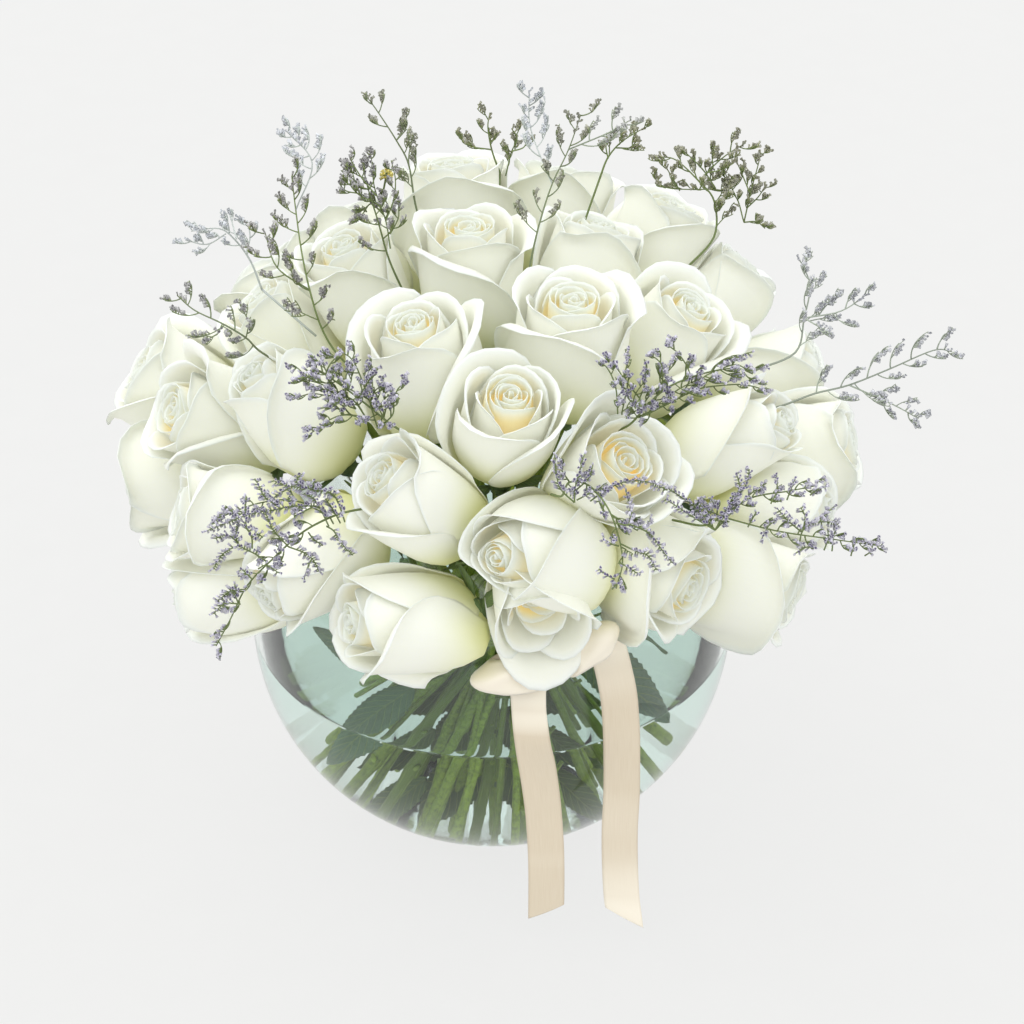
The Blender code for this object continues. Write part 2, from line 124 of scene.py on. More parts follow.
def add(tree, kind, plugs=None, **settings):
    """A shader node with its settings. Each plug, by its input's name or number, is a value, a socket,
    or a node whose first live output is meant. A Mix takes its share in 0 and its colours in 6 and 7;
    a Map Range takes its value in 0, its old range in 1 and 2, and its new range in 3 and 4."""
    made = tree.nodes.new("ShaderNode" + kind)
    for name, value in settings.items():
        setattr(made, name, value)
    for name, value in (plugs or {}).items():
        plug = made.inputs[name]
        if isinstance(value, bpy.types.Node):
            value = next(socket for socket in value.outputs if socket.enabled)
        if isinstance(value, bpy.types.NodeSocket):
            tree.links.new(value, plug)
        else:
            plug.default_value = (*value, 1.0) if plug.type == "RGBA" else value
    return made


def new_material(name):
    """An empty node material, and the function that adds a node to it."""
    made = bpy.data.materials.new(name)
    made.use_nodes = True
    made.node_tree.nodes.clear()
    return made, partial(add, made.node_tree)


# ---- geometry helpers ----
def heading(azimuth, lift=0.0):
    """The unit vector at an azimuth and a lift above the horizontal, both in degrees."""
    around, up = math.radians(azimuth), math.radians(lift)
    return Vector((math.sin(around) * math.cos(up), -math.cos(around) * math.cos(up), math.sin(up)))


def place(azimuth, reach, height):
    """The point at an azimuth, a reach from the upright axis and a height."""
    return heading(azimuth) * reach + Vector((0, 0, height))


def stand_on(foot, aim):
    """The matrix that stands a thing on a foot, with its own +Z along the aim."""
    return Matrix.Translation(foot) @ aim.to_track_quat("Z", "Y").to_matrix().to_4x4()


def smoothstep(low, high, x):
    """Climbs softly from 0 at low to 1 at high."""
    t = np.clip((x - low) / (high - low), 0.0, 1.0)
    return t * t * (3 - 2 * t)


def unit(v):
    """A vector, or each row of an array of them, brought to length one."""
    return v / np.linalg.norm(v) if v.ndim == 1 else v / np.linalg.norm(v, axis=1)[:, None]


def squared(v, axis):
    """The part of a vector that is square to a unit axis, brought to length one."""
    v = v - axis * v.dot(axis)
    return v / max(np.linalg.norm(v), 1e-6)


def tangents_of(line):
    """The unit direction of a line at each of its rows."""
    return unit(np.gradient(line, axis=0))


def lengths_along(line):
    """How far along a line of (x, y, z, ...) rows each of them lies."""
    steps = np.linalg.norm(np.diff(line[:, :3], axis=0), axis=1)
    return np.concatenate([[0], np.cumsum(steps)])


def spots_along(line, lengths, at):
    """The rows of a line at given lengths along it."""
    return np.stack([np.interp(at, lengths, column) for column in line.T], axis=-1)


def side_by_side(shape, values):
    """Numbers or grids, each spread over a grid of the given shape, as its channels."""
    return np.stack([np.broadcast_to(value, shape) for value in values], axis=-1)


class Builder:
    """Gathers the points, faces and attributes of one mesh."""

    def __init__(self):
        self.points, self.quads, self.uvs, self.tones, self.slots = [], [], [], [], []
        self.count = 0

    def add_grid(self, points, uv, tone, closed=False, slot=0):
        """A grid of points (rows, columns, 3), with the numbers or grids of its uv and its tone;
        closed joins the last column to the first."""
        shape = points.shape[:2]
        index = np.arange(shape[0] * shape[1]).reshape(shape) + self.count
        right = np.roll(index, -1, axis=1) if closed else index[:, 1:]
        left = index if closed else index[:, :-1]
        quads = np.stack([left[:-1], right[:-1], right[1:], left[1:]], axis=-1).reshape(-1, 4)
        self.points.append(points.reshape(-1, 3))
        self.uvs.append(side_by_side(shape, uv).reshape(-1, 2))
        self.tones.append(side_by_side(shape, tone).reshape(-1, 4))
        self.quads.append(quads)
        self.slots.append(np.full(len(quads), slot))
        self.count += index.size

    def mesh(self, name, closed):
        """All the grids as one mesh, with points that meet joined."""
        points = np.concatenate(self.points)
        quads = np.concatenate(self.quads)
        made = bpy.data.meshes.new(name)
        made.vertices.add(len(points))
        made.vertices.foreach_set("co", points.astype(np.float32).ravel())
        made.loops.add(quads.size)
        made.loops.foreach_set("vertex_index", quads.ravel().astype(np.int32))
        made.polygons.add(len(quads))
        made.polygons.foreach_set("loop_start", np.arange(0, quads.size, 4, dtype=np.int32))
        made.polygons.foreach_set("material_index", np.concatenate(self.slots).astype(np.int32))
        made.update(calc_edges=True)
        layer = made.uv_layers.new(name="UVMap")
        layer.data.foreach_set("uv", np.concatenate(self.uvs)[quads.ravel()].ravel().astype(np.float32))
        tone = made.color_attributes.new("tone", "FLOAT_COLOR", "POINT")
        tone.data.foreach_set("color", np.concatenate(self.tones).ravel().astype(np.float32))
        shape = bmesh.new()
        shape.from_mesh(made)
        bmesh.ops.remove_doubles(shape, verts=shape.verts, dist=1e-6)
        bmesh.ops.dissolve_degenerate(shape, edges=shape.edges, dist=1e-7)
        if closed:
            bmesh.ops.recalc_face_normals(shape, faces=shape.faces)
        shape.to_mesh(made)
        shape.free()
        made.shade_smooth()
        return made

    def piece(self, name, *looks, closed=False):
        """The mesh as an object with its materials; closed says that it has an inside."""
        made = new_object(name, self.mesh(name, closed))
        for look in looks:
            made.data.materials.append(look)
        return made


def new_object(name, data):
    """A mesh, light or camera as an object in the scene."""
    made = bpy.data.objects.new(name, data)
    bpy.context.scene.collection.objects.link(made)
    return made


def thicken(made, thickness, offset=0.0):
    """Gives a sheet its thickness: half of it on each side, or all on the inside at an offset of -1."""
    wall = made.modifiers.new("Thickness", "SOLIDIFY")
    wall.thickness = thickness
    wall.offset = offset
    wall.use_rim = True
    return made


def ride(made, slot, *nodes):
    """Puts a finished piece on the arrangement's one body, in place of the frame's nodes."""
    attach(made, "root")
    if nodes:
        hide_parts(*nodes)
    return made


# ---- materials ----
# Each mesh has a tone at every point, which its material reads: red, green, blue and alpha.
COLOURS = {"data_type": "RGBA"}                     # for a Mix of colours
EASED = {"interpolation_type": "SMOOTHSTEP"}        # for a Map Range that starts and ends softly


def petal_material(settings):
    """Rose petal: thin waxy skin over pale flesh, so it is matt and lets light through, and goes from cool
    white at the rim to cream, with amber in the heart and green at the foot. The green is partly the petal's
    own colour and partly painted shade for the shaded lower part of the bloom; the amber is partly the
    heart's own colour and partly painted glow, and every petal gives off a little light of its own as
    painted fill."""
    made, node = new_material("rose_petal_skin")
    heart, along, shade = node("SeparateColor", {0: node("Attribute", attribute_name="tone")}).outputs
    spot = node("TexCoord").outputs["UV"]
    # The veins of a petal run up it about 1.5 mm apart: some thirty across its width.
    lines = node("Mapping", {"Vector": spot, "Scale": (30.0, 1.1, 1.0)})
    veins = node("TexNoise", {"Vector": lines, "Scale": 1.0, "Detail": 3.0, "Roughness": 0.55})
    mottle = node("TexNoise", {"Scale": 90.0, "Detail": 3.0})
    body = node("Mix", {0: mottle, 6: settings.petal_shade, 7: settings.petal}, **COLOURS)
    # Green towards the foot: partly the petal's own colour, partly painted shade for the shaded lower part
    # of the bloom.
    foot = node("MapRange", {0: along, 1: 0.74, 2: 0.08}, **EASED)
    body = node("Mix", {0: foot, 6: body, 7: settings.foot}, **COLOURS)
    inner = node("MapRange", {0: heart, 1: 0.3, 2: 0.8}, **EASED)
    under_rim = node("MapRange", {0: along, 1: 0.985, 2: 0.86}, **EASED)
    # Painted glow: inner petals below the rim turn amber. This is partly the heart's own cream and partly
    # painted light come through several petals, and the same mask drives the glow below.
    heart_tint_and_glow = node("Math", {0: inner, 1: under_rim}, operation="MULTIPLY")
    uneven = node("MapRange", {0: shade, 3: 0.45, 4: 1.0})
    heart_tint_and_glow = node("Math", {0: heart_tint_and_glow, 1: uneven}, operation="MULTIPLY")
    body = node("Mix", {0: heart_tint_and_glow, 6: body, 7: settings.heart}, **COLOURS)
    edge = node("MapRange", {0: along, 1: 0.93, 2: 1.0, 3: 0.0, 4: 0.5}, **EASED)
    body = node("Mix", {0: edge, 6: body, 7: settings.rim}, **COLOURS)
    # Bruises and weather spots, 0.5 to 2 mm across and far apart.
    freckles = node("TexNoise", {"Scale": 260.0, "Detail": 1.0})
    rare = node("MapRange", {0: freckles, 1: 0.80, 2: 0.84, 3: 0.0, 4: 0.7}, **EASED)
    body = node("Mix", {0: rare, 6: body, 7: settings.bruise}, **COLOURS)
    relief = node("Bump", {"Height": veins, "Strength": 0.25, "Distance": 0.0004})
    gloss = node("MapRange", {0: mottle, 3: 0.42, 4: 0.6})
    # Painted fill and glow: every petal gives off a little of its own colour as painted light, and more deep
    # in the heart, standing for light that has come through several petals.
    glow = node("MapRange", {0: heart_tint_and_glow, 3: 0.05, 4: 0.26})
    skin = node("BsdfPrincipled", {
        "Base Color": body, "Roughness": gloss, "Normal": relief, "IOR": 1.4, "Sheen Weight": 0.12,
        "Sheen Roughness": 0.4, "Emission Color": body, "Emission Strength": glow})
    through = node("BsdfTranslucent", {"Color": body, "Normal": relief})
    thin = node("MapRange", {0: inner, 3: 0.14, 4: 0.4})
    both = node("MixShader", {0: thin, 1: skin, 2: through})
    node("OutputMaterial", {"Surface": both})
    made.cycles.emission_sampling = "NONE"
    return made


def stem_material(settings):
    """Rose stem: smooth young bark, bright green where new and olive where old, with a waxy gleam."""
    made, node = new_material("rose_stem_bark")
    age, _, shade = node("SeparateColor", {0: node("Attribute", attribute_name="tone")}).outputs
    blotch = node("TexNoise", {"Scale": 110.0, "Detail": 4.0, "Roughness": 0.6})
    # Bark fibres about 0.4 mm apart run along the stem.
    fibre = node("Mapping", {"Vector": node("TexCoord").outputs["UV"], "Scale": (26.0, 12.0, 1.0)})
    fibres = node("TexNoise", {"Vector": fibre, "Scale": 1.0, "Detail": 4.0})
    bark = node("Mix", {0: age, 6: settings.young_stem, 7: settings.old_stem}, **COLOURS)
    patch = node("MapRange", {0: blotch, 1: 0.42, 2: 0.66, 3: 0.0, 4: 0.75})
    bark = node("Mix", {0: patch, 6: bark, 7: settings.old_stem}, **COLOURS)
    lime = node("MapRange", {0: fibres, 1: 0.55, 2: 0.75, 3: 0.0, 4: 0.45})
    bark = node("Mix", {0: lime, 6: bark, 7: settings.stem_joint}, **COLOURS)
    bark = node("HueSaturation", {"Color": bark, "Value": node("MapRange", {0: shade, 3: 0.8, 4: 1.2})})
    relief = node("Bump", {"Height": fibres, "Strength": 0.35, "Distance": 0.0005})
    gloss = node("MapRange", {0: blotch, 3: 0.3, 4: 0.55})
    skin = node("BsdfPrincipled", {"Base Color": bark, "Roughness": gloss, "Normal": relief, "IOR": 1.45})
    node("OutputMaterial", {"Surface": skin})
    return made


def leaf_material(settings):
    """Rose leaf: a leathery blade, dark and bloomy above, with a pale midrib and side veins."""
    made, node = new_material("rose_leaf_blade")
    olive, off_rib, shade = node("SeparateColor", {0: node("Attribute", attribute_name="tone")}).outputs
    across = node("SeparateXYZ", {0: node("TexCoord").outputs["UV"]}).outputs
    # Side veins leave the midrib 4 mm apart and slant towards the tip.
    slant = node("Math", {0: off_rib, 1: -0.22, 2: across[1]}, operation="MULTIPLY_ADD")
    ripple = node("Math", {0: slant, 1: 62.0}, operation="MULTIPLY")
    wave = node("Math", {0: ripple}, operation="SINE")
    vein = node("MapRange", {0: wave, 1: 0.86, 2: 1.0})
    rib = node("MapRange", {0: off_rib, 1: 0.07, 2: 0.0})
    pale = node("Math", {0: vein, 1: rib}, operation="MAXIMUM")
    mottle = node("TexNoise", {"Scale": 150.0, "Detail": 4.0})
    blade = node("Mix", {0: mottle, 6: settings.leaf, 7: settings.leaf_bloom}, **COLOURS)
    blade = node("Mix", {0: olive, 6: blade, 7: settings.old_stem}, **COLOURS)
    faint = node("Math", {0: pale, 1: 0.28}, operation="MULTIPLY")
    blade = node("Mix", {0: faint, 6: blade, 7: settings.stem_joint}, **COLOURS)
    blade = node("HueSaturation", {"Color": blade, "Value": node("MapRange", {0: shade, 3: 0.85, 4: 1.15})})
    relief = node("Bump", {"Height": pale, "Strength": 0.5, "Distance": 0.0006}, invert=True)
    skin = node("BsdfPrincipled", {
        "Base Color": blade, "Normal": relief, "IOR": 1.45,
        "Roughness": node("MapRange", {0: mottle, 3: 0.38, 4: 0.6})})
    through = node("BsdfTranslucent", {"Color": blade})
    both = node("MixShader", {0: 0.2, 1: skin, 2: through})
    node("OutputMaterial", {"Surface": both})
    return made


def twig_material(settings):
    """Sea lavender twig: wiry dry green stalk, matt and a little ribbed; far sprigs are sun-bleached."""
    made, node = new_material("sea_lavender_twig")
    bleached, _, shade = node("SeparateColor", {0: node("Attribute", attribute_name="tone")}).outputs
    speckle = node("TexNoise", {"Scale": 700.0, "Detail": 3.0})
    green = node("Mix", {0: speckle, 6: settings.twig, 7: settings.twig_shade}, **COLOURS)
    green = node("Mix", {0: bleached, 6: green, 7: settings.bleached}, **COLOURS)
    green = node("HueSaturation", {"Color": green, "Value": node("MapRange", {0: shade, 3: 0.8, 4: 1.2})})
    relief = node("Bump", {"Height": speckle, "Strength": 0.4, "Distance": 0.0002})
    skin = node("BsdfPrincipled", {"Base Color": green, "Roughness": 0.62, "Normal": relief, "IOR": 1.4})
    node("OutputMaterial", {"Surface": skin})
    return made


def calyx_material(settings, name, cup, rim, throat):
    """Sea lavender floret: a green tube that opens into a dry papery cup with a paler rim and a
    darker throat, dull and softly sheened."""
    made, node = new_material(name)
    bleached, along, shade = node("SeparateColor", {0: node("Attribute", attribute_name="tone")}).outputs
    opened = node("Attribute", attribute_name="tone").outputs["Alpha"]
    bands = node("ValToRGB", {0: along})
    stops = ((0.0, settings.twig_shade), (0.16, settings.twig), (0.3, cup), (0.5, rim), (0.7, throat),
             (1.0, throat))
    ramp = bands.color_ramp
    ramp.elements[0].position, ramp.elements[1].position = 0.0, 1.0
    for position, _ in stops[1:-1]:
        ramp.elements.new(position)
    for element, (_, value) in zip(ramp.elements, stops):
        element.color = (*value, 1.0)
    crinkle = node("TexNoise", {"Scale": 1500.0, "Detail": 2.0})
    paper = node("Mix", {0: opened, 6: settings.bud, 7: bands}, **COLOURS)
    paper = node("Mix", {0: bleached, 6: paper, 7: settings.bleached}, **COLOURS)
    paper = node("HueSaturation", {"Color": paper, "Value": node("MapRange", {0: shade, 3: 0.75, 4: 1.25})})
    relief = node("Bump", {"Height": crinkle, "Strength": 0.3, "Distance": 0.0002})
    skin = node("BsdfPrincipled", {
        "Base Color": paper, "Roughness": 0.75, "Normal": relief, "IOR": 1.4, "Sheen Weight": 0.3,
        "Sheen Roughness": 0.5})
    node("OutputMaterial", {"Surface": skin})
    return made


def glass_material(tint, name, index):
    """Soda-lime glass, blown: clear with a faint sea-green cast, gently wavy, sharp in its reflections.
    Light for shadows passes straight through, so that the stems inside stay lit."""
    made, node = new_material(name)
    # The wall's waves are about 35 mm long.
    waves = node("TexNoise", {"Scale": 28.0, "Detail": 1.5})
    relief = node("Bump", {"Height": waves, "Strength": 0.02, "Distance": 0.001})
    smears = node("MapRange", {0: waves, 1: 0.3, 2: 0.8, 3: 0.0, 4: 0.01})
    wall = node("BsdfPrincipled", {
        "Base Color": tint, "Roughness": smears, "IOR": index, "Specular IOR Level": 0.12,
        "Transmission Weight": 1.0, "Normal": relief})
    passing = node("BsdfTransparent", {"Color": tint})
    rays = node("LightPath")
    both = node("MixShader", {0: rays.outputs["Is Shadow Ray"], 1: wall, 2: passing})
    node("OutputMaterial", {"Surface": both})
    return made


def water_material(tint, name, index):
    """Vase water: clear, with a still and glossy surface. Its sides, which wet the glass, leave the
    bending of light to the glass."""
    made, node = new_material(name)
    # The surface's swells are about 25 mm long.
    ripples = node("TexNoise", {"Scale": 40.0, "Detail": 1.0})
    relief = node("Bump", {"Height": ripples, "Strength": 0.01, "Distance": 0.001})
    body = node("BsdfPrincipled", {
        "Base Color": tint, "Roughness": 0.0, "IOR": index, "Transmission Weight": 1.0, "Normal": relief})
    passing = node("BsdfTransparent", {"Color": tint})
    rays = node("LightPath")
    both = node("MixShader", {0: rays.outputs["Is Shadow Ray"], 1: body, 2: passing})
    node("OutputMaterial", {"Surface": both})
    return made


def satin_material(settings):
    """Polyester satin, woven: long floats of bright thread along the ribbon, so it shines in soft bands
    and has fine lengthwise lines, with a plain woven edge."""
    made, node = new_material("polyester_satin_weave")
    spot = node("TexCoord").outputs["UV"]
    # Threads are really 0.1 mm apart; they are drawn 0.4 mm apart so that they show.
    floats = node("Mapping", {"Vector": spot, "Scale": (45.0, 6.0, 1.0)})
    threads = node("TexNoise", {"Vector": floats, "Scale": 1.0, "Detail": 3.0})
    rows = node("Mapping", {"Vector": spot, "Scale": (1.5, 260.0, 1.0)})
    picks = node("TexNoise", {"Vector": rows, "Scale": 1.0, "Detail": 1.0})
    weave = node("Math", {0: picks, 1: 0.4, 2: threads}, operation="MULTIPLY_ADD")
    cloth = node("Mix", {0: threads, 6: settings.satin_shade, 7: settings.satin}, **COLOURS)
    edge, lit, _ = node("SeparateColor", {0: node("Attribute", attribute_name="tone")}).outputs
    cloth = node("Mix", {0: edge, 6: cloth, 7: settings.satin_edge}, **COLOURS)
    # Painted sheen: lightens the cloth where the band's tone says it catches the light.
    cloth = node("Mix", {0: lit, 6: cloth, 7: settings.satin_light}, **COLOURS)
    relief = node("Bump", {"Height": weave, "Strength": 0.3, "Distance": 0.0002})
    gloss = node("MapRange", {0: threads, 3: 0.3, 4: 0.46})
    skin = node("BsdfPrincipled", {
        "Base Color": cloth, "Roughness": gloss, "Normal": relief, "IOR": 1.5,
        "Anisotropic": 0.6, "Sheen Weight": 0.35, "Sheen Roughness": 0.3})
    node("OutputMaterial", {"Surface": skin})
    return made


def tape_material(settings):
    """Florist's tape: waxed crepe paper, dull green with fine crosswise wrinkles 0.5 mm apart."""
    made, node = new_material("waxed_crepe_tape")
    crepe = node("TexNoise", {"Scale": 1100.0, "Detail": 2.0})
    base = node("Mix", {0: crepe, 6: settings.old_stem, 7: settings.young_stem}, **COLOURS)
    relief = node("Bump", {"Height": crepe, "Strength": 0.6, "Distance": 0.0003})
    skin = node("BsdfPrincipled", {"Base Color": base, "Roughness": 0.7, "Normal": relief, "IOR": 1.45})
    node("OutputMaterial", {"Surface": skin})
    return made


def paper_material(settings):
    """Seamless backdrop paper, lit from behind: matt and pale, with a tooth of about 1 mm, and bright
    enough of itself to thin the shadows on it."""
    made, node = new_material("seamless_backdrop_paper")
    tooth = node("TexNoise", {"Scale": 900.0, "Detail": 2.0})
    base = node("Mix", {0: tooth, 6: settings.paper_shade, 7: settings.paper}, **COLOURS)
    relief = node("Bump", {"Height": tooth, "Strength": 0.05, "Distance": 0.0003})
    skin = node("BsdfPrincipled", {
        "Base Color": base, "Roughness": 0.9, "Normal": relief, "Specular IOR Level": 0.1,
        "Emission Color": linear("#F6F6F5"), "Emission Strength": settings.glow})
    node("OutputMaterial", {"Surface": skin})
    made.cycles.emission_sampling = "NONE"
    return made


# ---- roses ----
# How each kind of bloom opens. belly: its widest part as a share of ROSE_RADIUS. mouth: width of
# the rim as a share of the belly's. roll: how far the rims roll back, in degrees, from the
# outermost petal to the heart. sink: how far the heart lies below the outer rims, as a share of
# ROSE_LENGTH. flare: how far the outermost petals stand off, as a share of a fully open one's.
KINDS = {
    "bud": {"belly": 0.93, "mouth": 0.60, "roll": (85, 20), "sink": -0.02, "flare": 0.2},
    "ball": {"belly": 1.24, "mouth": 0.50, "roll": (80, 20), "sink": -0.02, "flare": 0.3},
    "half": {"belly": 0.99, "mouth": 0.82, "roll": (135, 25), "sink": 0.02, "flare": 1.0},
    "full": {"belly": 0.96, "mouth": 0.97, "roll": (150, 30), "sink": 0.05, "flare": 1.0},
    "open": {"belly": 0.98, "mouth": 0.98, "roll": (95, 40), "sink": 0.07, "flare": 1.0},
    "blown": {"belly": 0.90, "mouth": 0.92, "roll": (110, 60), "sink": 0.50, "flare": 1.0},
}
# Each petal's distance from the bloom's axis as a share of its outermost one's: three whorls of
# three, wrapped round a heart.
WRAP = (1.0, 0.962, 0.924, 0.86, 0.815, 0.77, 0.65, 0.60, 0.55,
        0.45, 0.40, 0.352, 0.304, 0.256, 0.208, 0.16, 0.112, 0.06)
# How far in from its rim each petal of the whorls rolls, in metres.
ROLL_WIDTHS = (0.0118, 0.0098, 0.0082, 0.0056, 0.0048, 0.0042, 0.003, 0.0026, 0.0023)
# Seeds picked so that the outer petals of some front blooms lie well, and how much wider and longer
# than the rest some have grown, by their place in the list.
FRONT_SEEDS = {10: 504, 16: 508, 29: 508, 32: 506}
FRONT_GROWTH = {29: (0.95, 1.14), 32: (1.1, 1.0)}
HEART_FROM = 9                  # petals from here in show only their upper part
HEART_START = 0.55
BALL_OVERLAP = 0.009            # how far the fat low bloom in front laps over its neighbours
LEAST_ROOM = 0.012              # what a bloom keeps between its axis and a neighbour
SPIRAL_STEP = 137.5             # degrees from one petal of a rose to the next
ALONG_FINE = 60                 # steps that a petal's roll is worked out in
PROFILE_STEPS = 120             # points of the line up a petal's back
PROFILE_BLUR = 23               # how many of those points its rounding reaches over
TOUCHING = 2.3                  # blooms nearer to each other than this many radii press flat
GLASS_TOUCHING = 1.4            # and so does one nearer than this to the glass
PETAL_GAP, GLASS_GAP = 0.0002, 0.0006


def profile(belly, mouth, height):
    """The slope of a petal's back along its length, where it lies along it, that length and its foot."""
    knots = (0, 0.1, 0.24, 0.44, 0.68, 0.86, 1.0)
    narrow = belly - mouth
    radii = (0.15 * belly, 0.55 * belly, 0.87 * belly, belly, belly - narrow * 0.3,
             belly - narrow * 0.68, mouth)
    heights = np.array((0, 0.03, 0.14, 0.38, 0.68, 0.87, 1.0)) * height
    t = np.linspace(0, 1, PROFILE_STEPS)
    kernel = np.hanning(PROFILE_BLUR)
    kernel /= kernel.sum()
    half = PROFILE_BLUR // 2
    smooth = []
    for values in (radii, heights):
        line = np.interp(t, knots, values)
        line = np.concatenate([2 * line[0] - line[half:0:-1], line, 2 * line[-1] - line[-2:-half - 2:-1]])
        smooth.append(np.convolve(line, kernel, "valid"))
    dr, dz = np.diff(smooth[0]), np.diff(smooth[1])
    steps = np.hypot(dr, dz)
    length = steps.sum()
    return np.arctan2(dz, dr), np.cumsum(steps) / length, length, smooth[0][0], smooth[1][0]


def petal_grid(p, across, along):
    """A petal's points (along, across, 3) about its bloom's axis, and its own u and v."""
    spread = 0.9 * math.pi / 2
    u = np.sin(np.linspace(-spread, spread, across)) / math.sin(spread)
    slope, spots, length, foot_r, foot_z = profile(p.belly, p.mouth, p.height)
    reach = length * (1 - p.round * np.abs(u) ** 3.2)
    shown = 1 - p.start
    fine = p.start + shown * (np.arange(ALONG_FINE)[:, None] + 0.5) / ALONG_FINE
    travelled = fine * reach
    left = reach - travelled
    tip = np.exp(-((u - p.tip_at) / 0.3) ** 2)
    tucked = p.tuck_left * smoothstep(0.25, 0.7, -u) + p.tuck_right * smoothstep(0.25, 0.7, u)
    roll = math.radians(p.roll) * (1 - 0.4 * tip) * (1 + p.uneven * u) * (1 - 0.55 * np.abs(u) ** 3)
    roll = roll * (1 - tucked)
    theta = np.interp(travelled / length, spots, slope)
    theta = theta - roll * smoothstep(p.roll_width, 0.0, left)
    step = reach * shown / ALONG_FINE
    hidden = np.interp(np.linspace(0, p.start, 40), spots, slope)
    r0 = foot_r + np.cos(hidden).mean() * length * p.start
    z0 = foot_z + np.sin(hidden).mean() * length * p.start
    first = np.zeros((1, across))
    r = r0 + np.concatenate([first, np.cumsum(np.cos(theta) * step, axis=0)])
    z = z0 + np.concatenate([first, np.cumsum(np.sin(theta) * step, axis=0)])
    v = 1 - (1 - np.linspace(0, 1, along)) ** 1.6
    rows = v * ALONG_FINE
    low = np.minimum(rows.astype(int), ALONG_FINE - 1)
    mix = (rows - low)[:, None]
    r = r[low] * (1 - mix) + r[low + 1] * mix
    z = z[low] * (1 - mix) + z[low + 1] * mix
    v = (p.start + shown * v)[:, None] * np.ones((1, across))
    widen = 0.40 + 0.60 * smoothstep(0.0, 0.75, v)
    azimuth = math.radians(p.azimuth)
    angle = azimuth + math.radians(p.half) * widen * u
    side = smoothstep(0.55, 1.0, np.abs(u)) ** 1.4 * smoothstep(0.1, 0.75, v)
    r = r + p.spiral * u + side * np.where(u > 0, p.side_right, p.side_left)
    r = r + p.wave * np.sin(p.waves * u + p.phase) * smoothstep(0.6, 1.0, v)
    z = z + p.wave * np.sin(p.waves * 1.7 * u + 2 * p.phase) * smoothstep(0.7, 1.0, v)
    z = z + p.tip * tip * smoothstep(0.75, 1.0, v)
    r = r * (1 + p.lump * np.sin(2 * angle + p.phase) * v)
    lean = p.lean * v ** 2
    x = r * np.cos(angle) + lean * math.cos(azimuth)
    y = r * np.sin(angle) + lean * math.sin(azimuth)
    return np.stack([x, y, z], axis=-1), u, v


def rose_petals(kind, rng):
    """The petals of one rose, from the outermost in to the heart. azimuth, half and roll are in degrees;
    half is half of the angle that a petal covers. round cuts its corners, start leaves out its foot,
    uneven rolls one side further, and a tucked side doesn't roll. tip stands up at tip_at, spiral sets
    one side further out, the sides and lean stand the petal off, wave ripples it, and lump makes it
    less round. heart is how deep in the bloom it lies."""
    style = KINDS[kind]
    turn = rng.uniform(0, 360)
    belly = ROSE_RADIUS * style["belly"]
    mouth = belly * style["mouth"]
    found = []
    for i, reach in enumerate(WRAP):
        outer = i < 3
        whorl = i < HEART_FROM
        inward = i / (len(WRAP) - 1)
        gap = belly * (reach - WRAP[i + 1]) if i + 1 < len(WRAP) else 0.0008
        roll = style["roll"][0] + (style["roll"][1] - style["roll"][0]) * inward ** 0.6
        found.append(SimpleNamespace(
            azimuth=turn + SPIRAL_STEP * i + rng.uniform(-10, 10) * (1 if whorl else 2.2),
            belly=belly * reach,
            mouth=mouth * reach * rng.uniform(0.997, 1.003),
            height=ROSE_LENGTH * (0.945 + 0.006 * (i % 3 if whorl else 3) - style["sink"] * inward
                                  + rng.uniform(-0.006, 0.006)),
            half=(86 if whorl else 92 + 60 * inward ** 2) + rng.uniform(-7, 7),
            round=rng.uniform(0.42, 0.62) if whorl else rng.uniform(0.16, 0.34),
            start=0.0 if whorl else HEART_START,
            roll=roll * rng.uniform(0.75, 1.15),
            roll_width=ROLL_WIDTHS[i] * rng.uniform(0.75, 1.25) if whorl else 0.0017 - 0.0012 * inward,
            uneven=rng.uniform(-0.4, 0.4),
            tuck_left=0.95 if whorl and i % 3 else 0.0,
            tuck_right=0.95 if whorl and i % 3 == 2 else 0.0,
            tip_at=rng.uniform(-0.3, 0.3),
            tip=(0.003 if outer else 0.0014 if whorl else 0.0005) * rng.uniform(0.2, 1.2),
            spiral=gap * (0.15 if whorl else 0.8) * rng.uniform(0.8, 1.1),
            side_right=rng.uniform(0.0025, 0.0055) * style["flare"] if i < 2 else 0.0,
            side_left=rng.uniform(0.001, 0.004) * style["flare"] if i == 0 else 0.0,
            wave=(0.0007 if outer else 0.0004) * rng.uniform(0.4, 1.3),
            waves=rng.uniform(2.0, 4.5),
            phase=rng.uniform(0, 2 * math.pi),
            lump=rng.uniform(-0.003, 0.003) if whorl else rng.uniform(-0.04, 0.04),
            lean=rng.uniform(0.001, 0.003) * style["flare"] if i < 2 else 0.0,
            heart=min(max((0.74 - reach) / 0.5, 0.0), 1.0),
            shade=rng.random(),
        ))
    return found


def bloom_axes():
    """Each bloom's receptacle, mouth and axis."""
    found = []
    for azimuth, reach, height, aim, lift, _ in BLOOMS:
        mouth = place(azimuth, reach * MM, height * MM)
        along = heading(aim, lift)
        found.append((mouth - along * ROSE_LENGTH, mouth, along))
    return found


def closest(a0, a1, b0, b1):
    """The nearest points of two line segments."""
    d1, d2, between = a1 - a0, b1 - b0, a0 - b0
    a, e, b = d1.length_squared, d2.length_squared, d1.dot(d2)
    c, f = d1.dot(between), d2.dot(between)
    spread = a * e - b * b
    s = min(max((b * f - c * e) / spread, 0.0), 1.0) if spread > 1e-12 else 0.0
    t = (b * s + f) / e
    if not 0.0 <= t <= 1.0:
        t = min(max(t, 0.0), 1.0)
        s = min(max((b * t - c) / a, 0.0), 1.0)
    return a0 + d1 * s, b0 + d2 * t


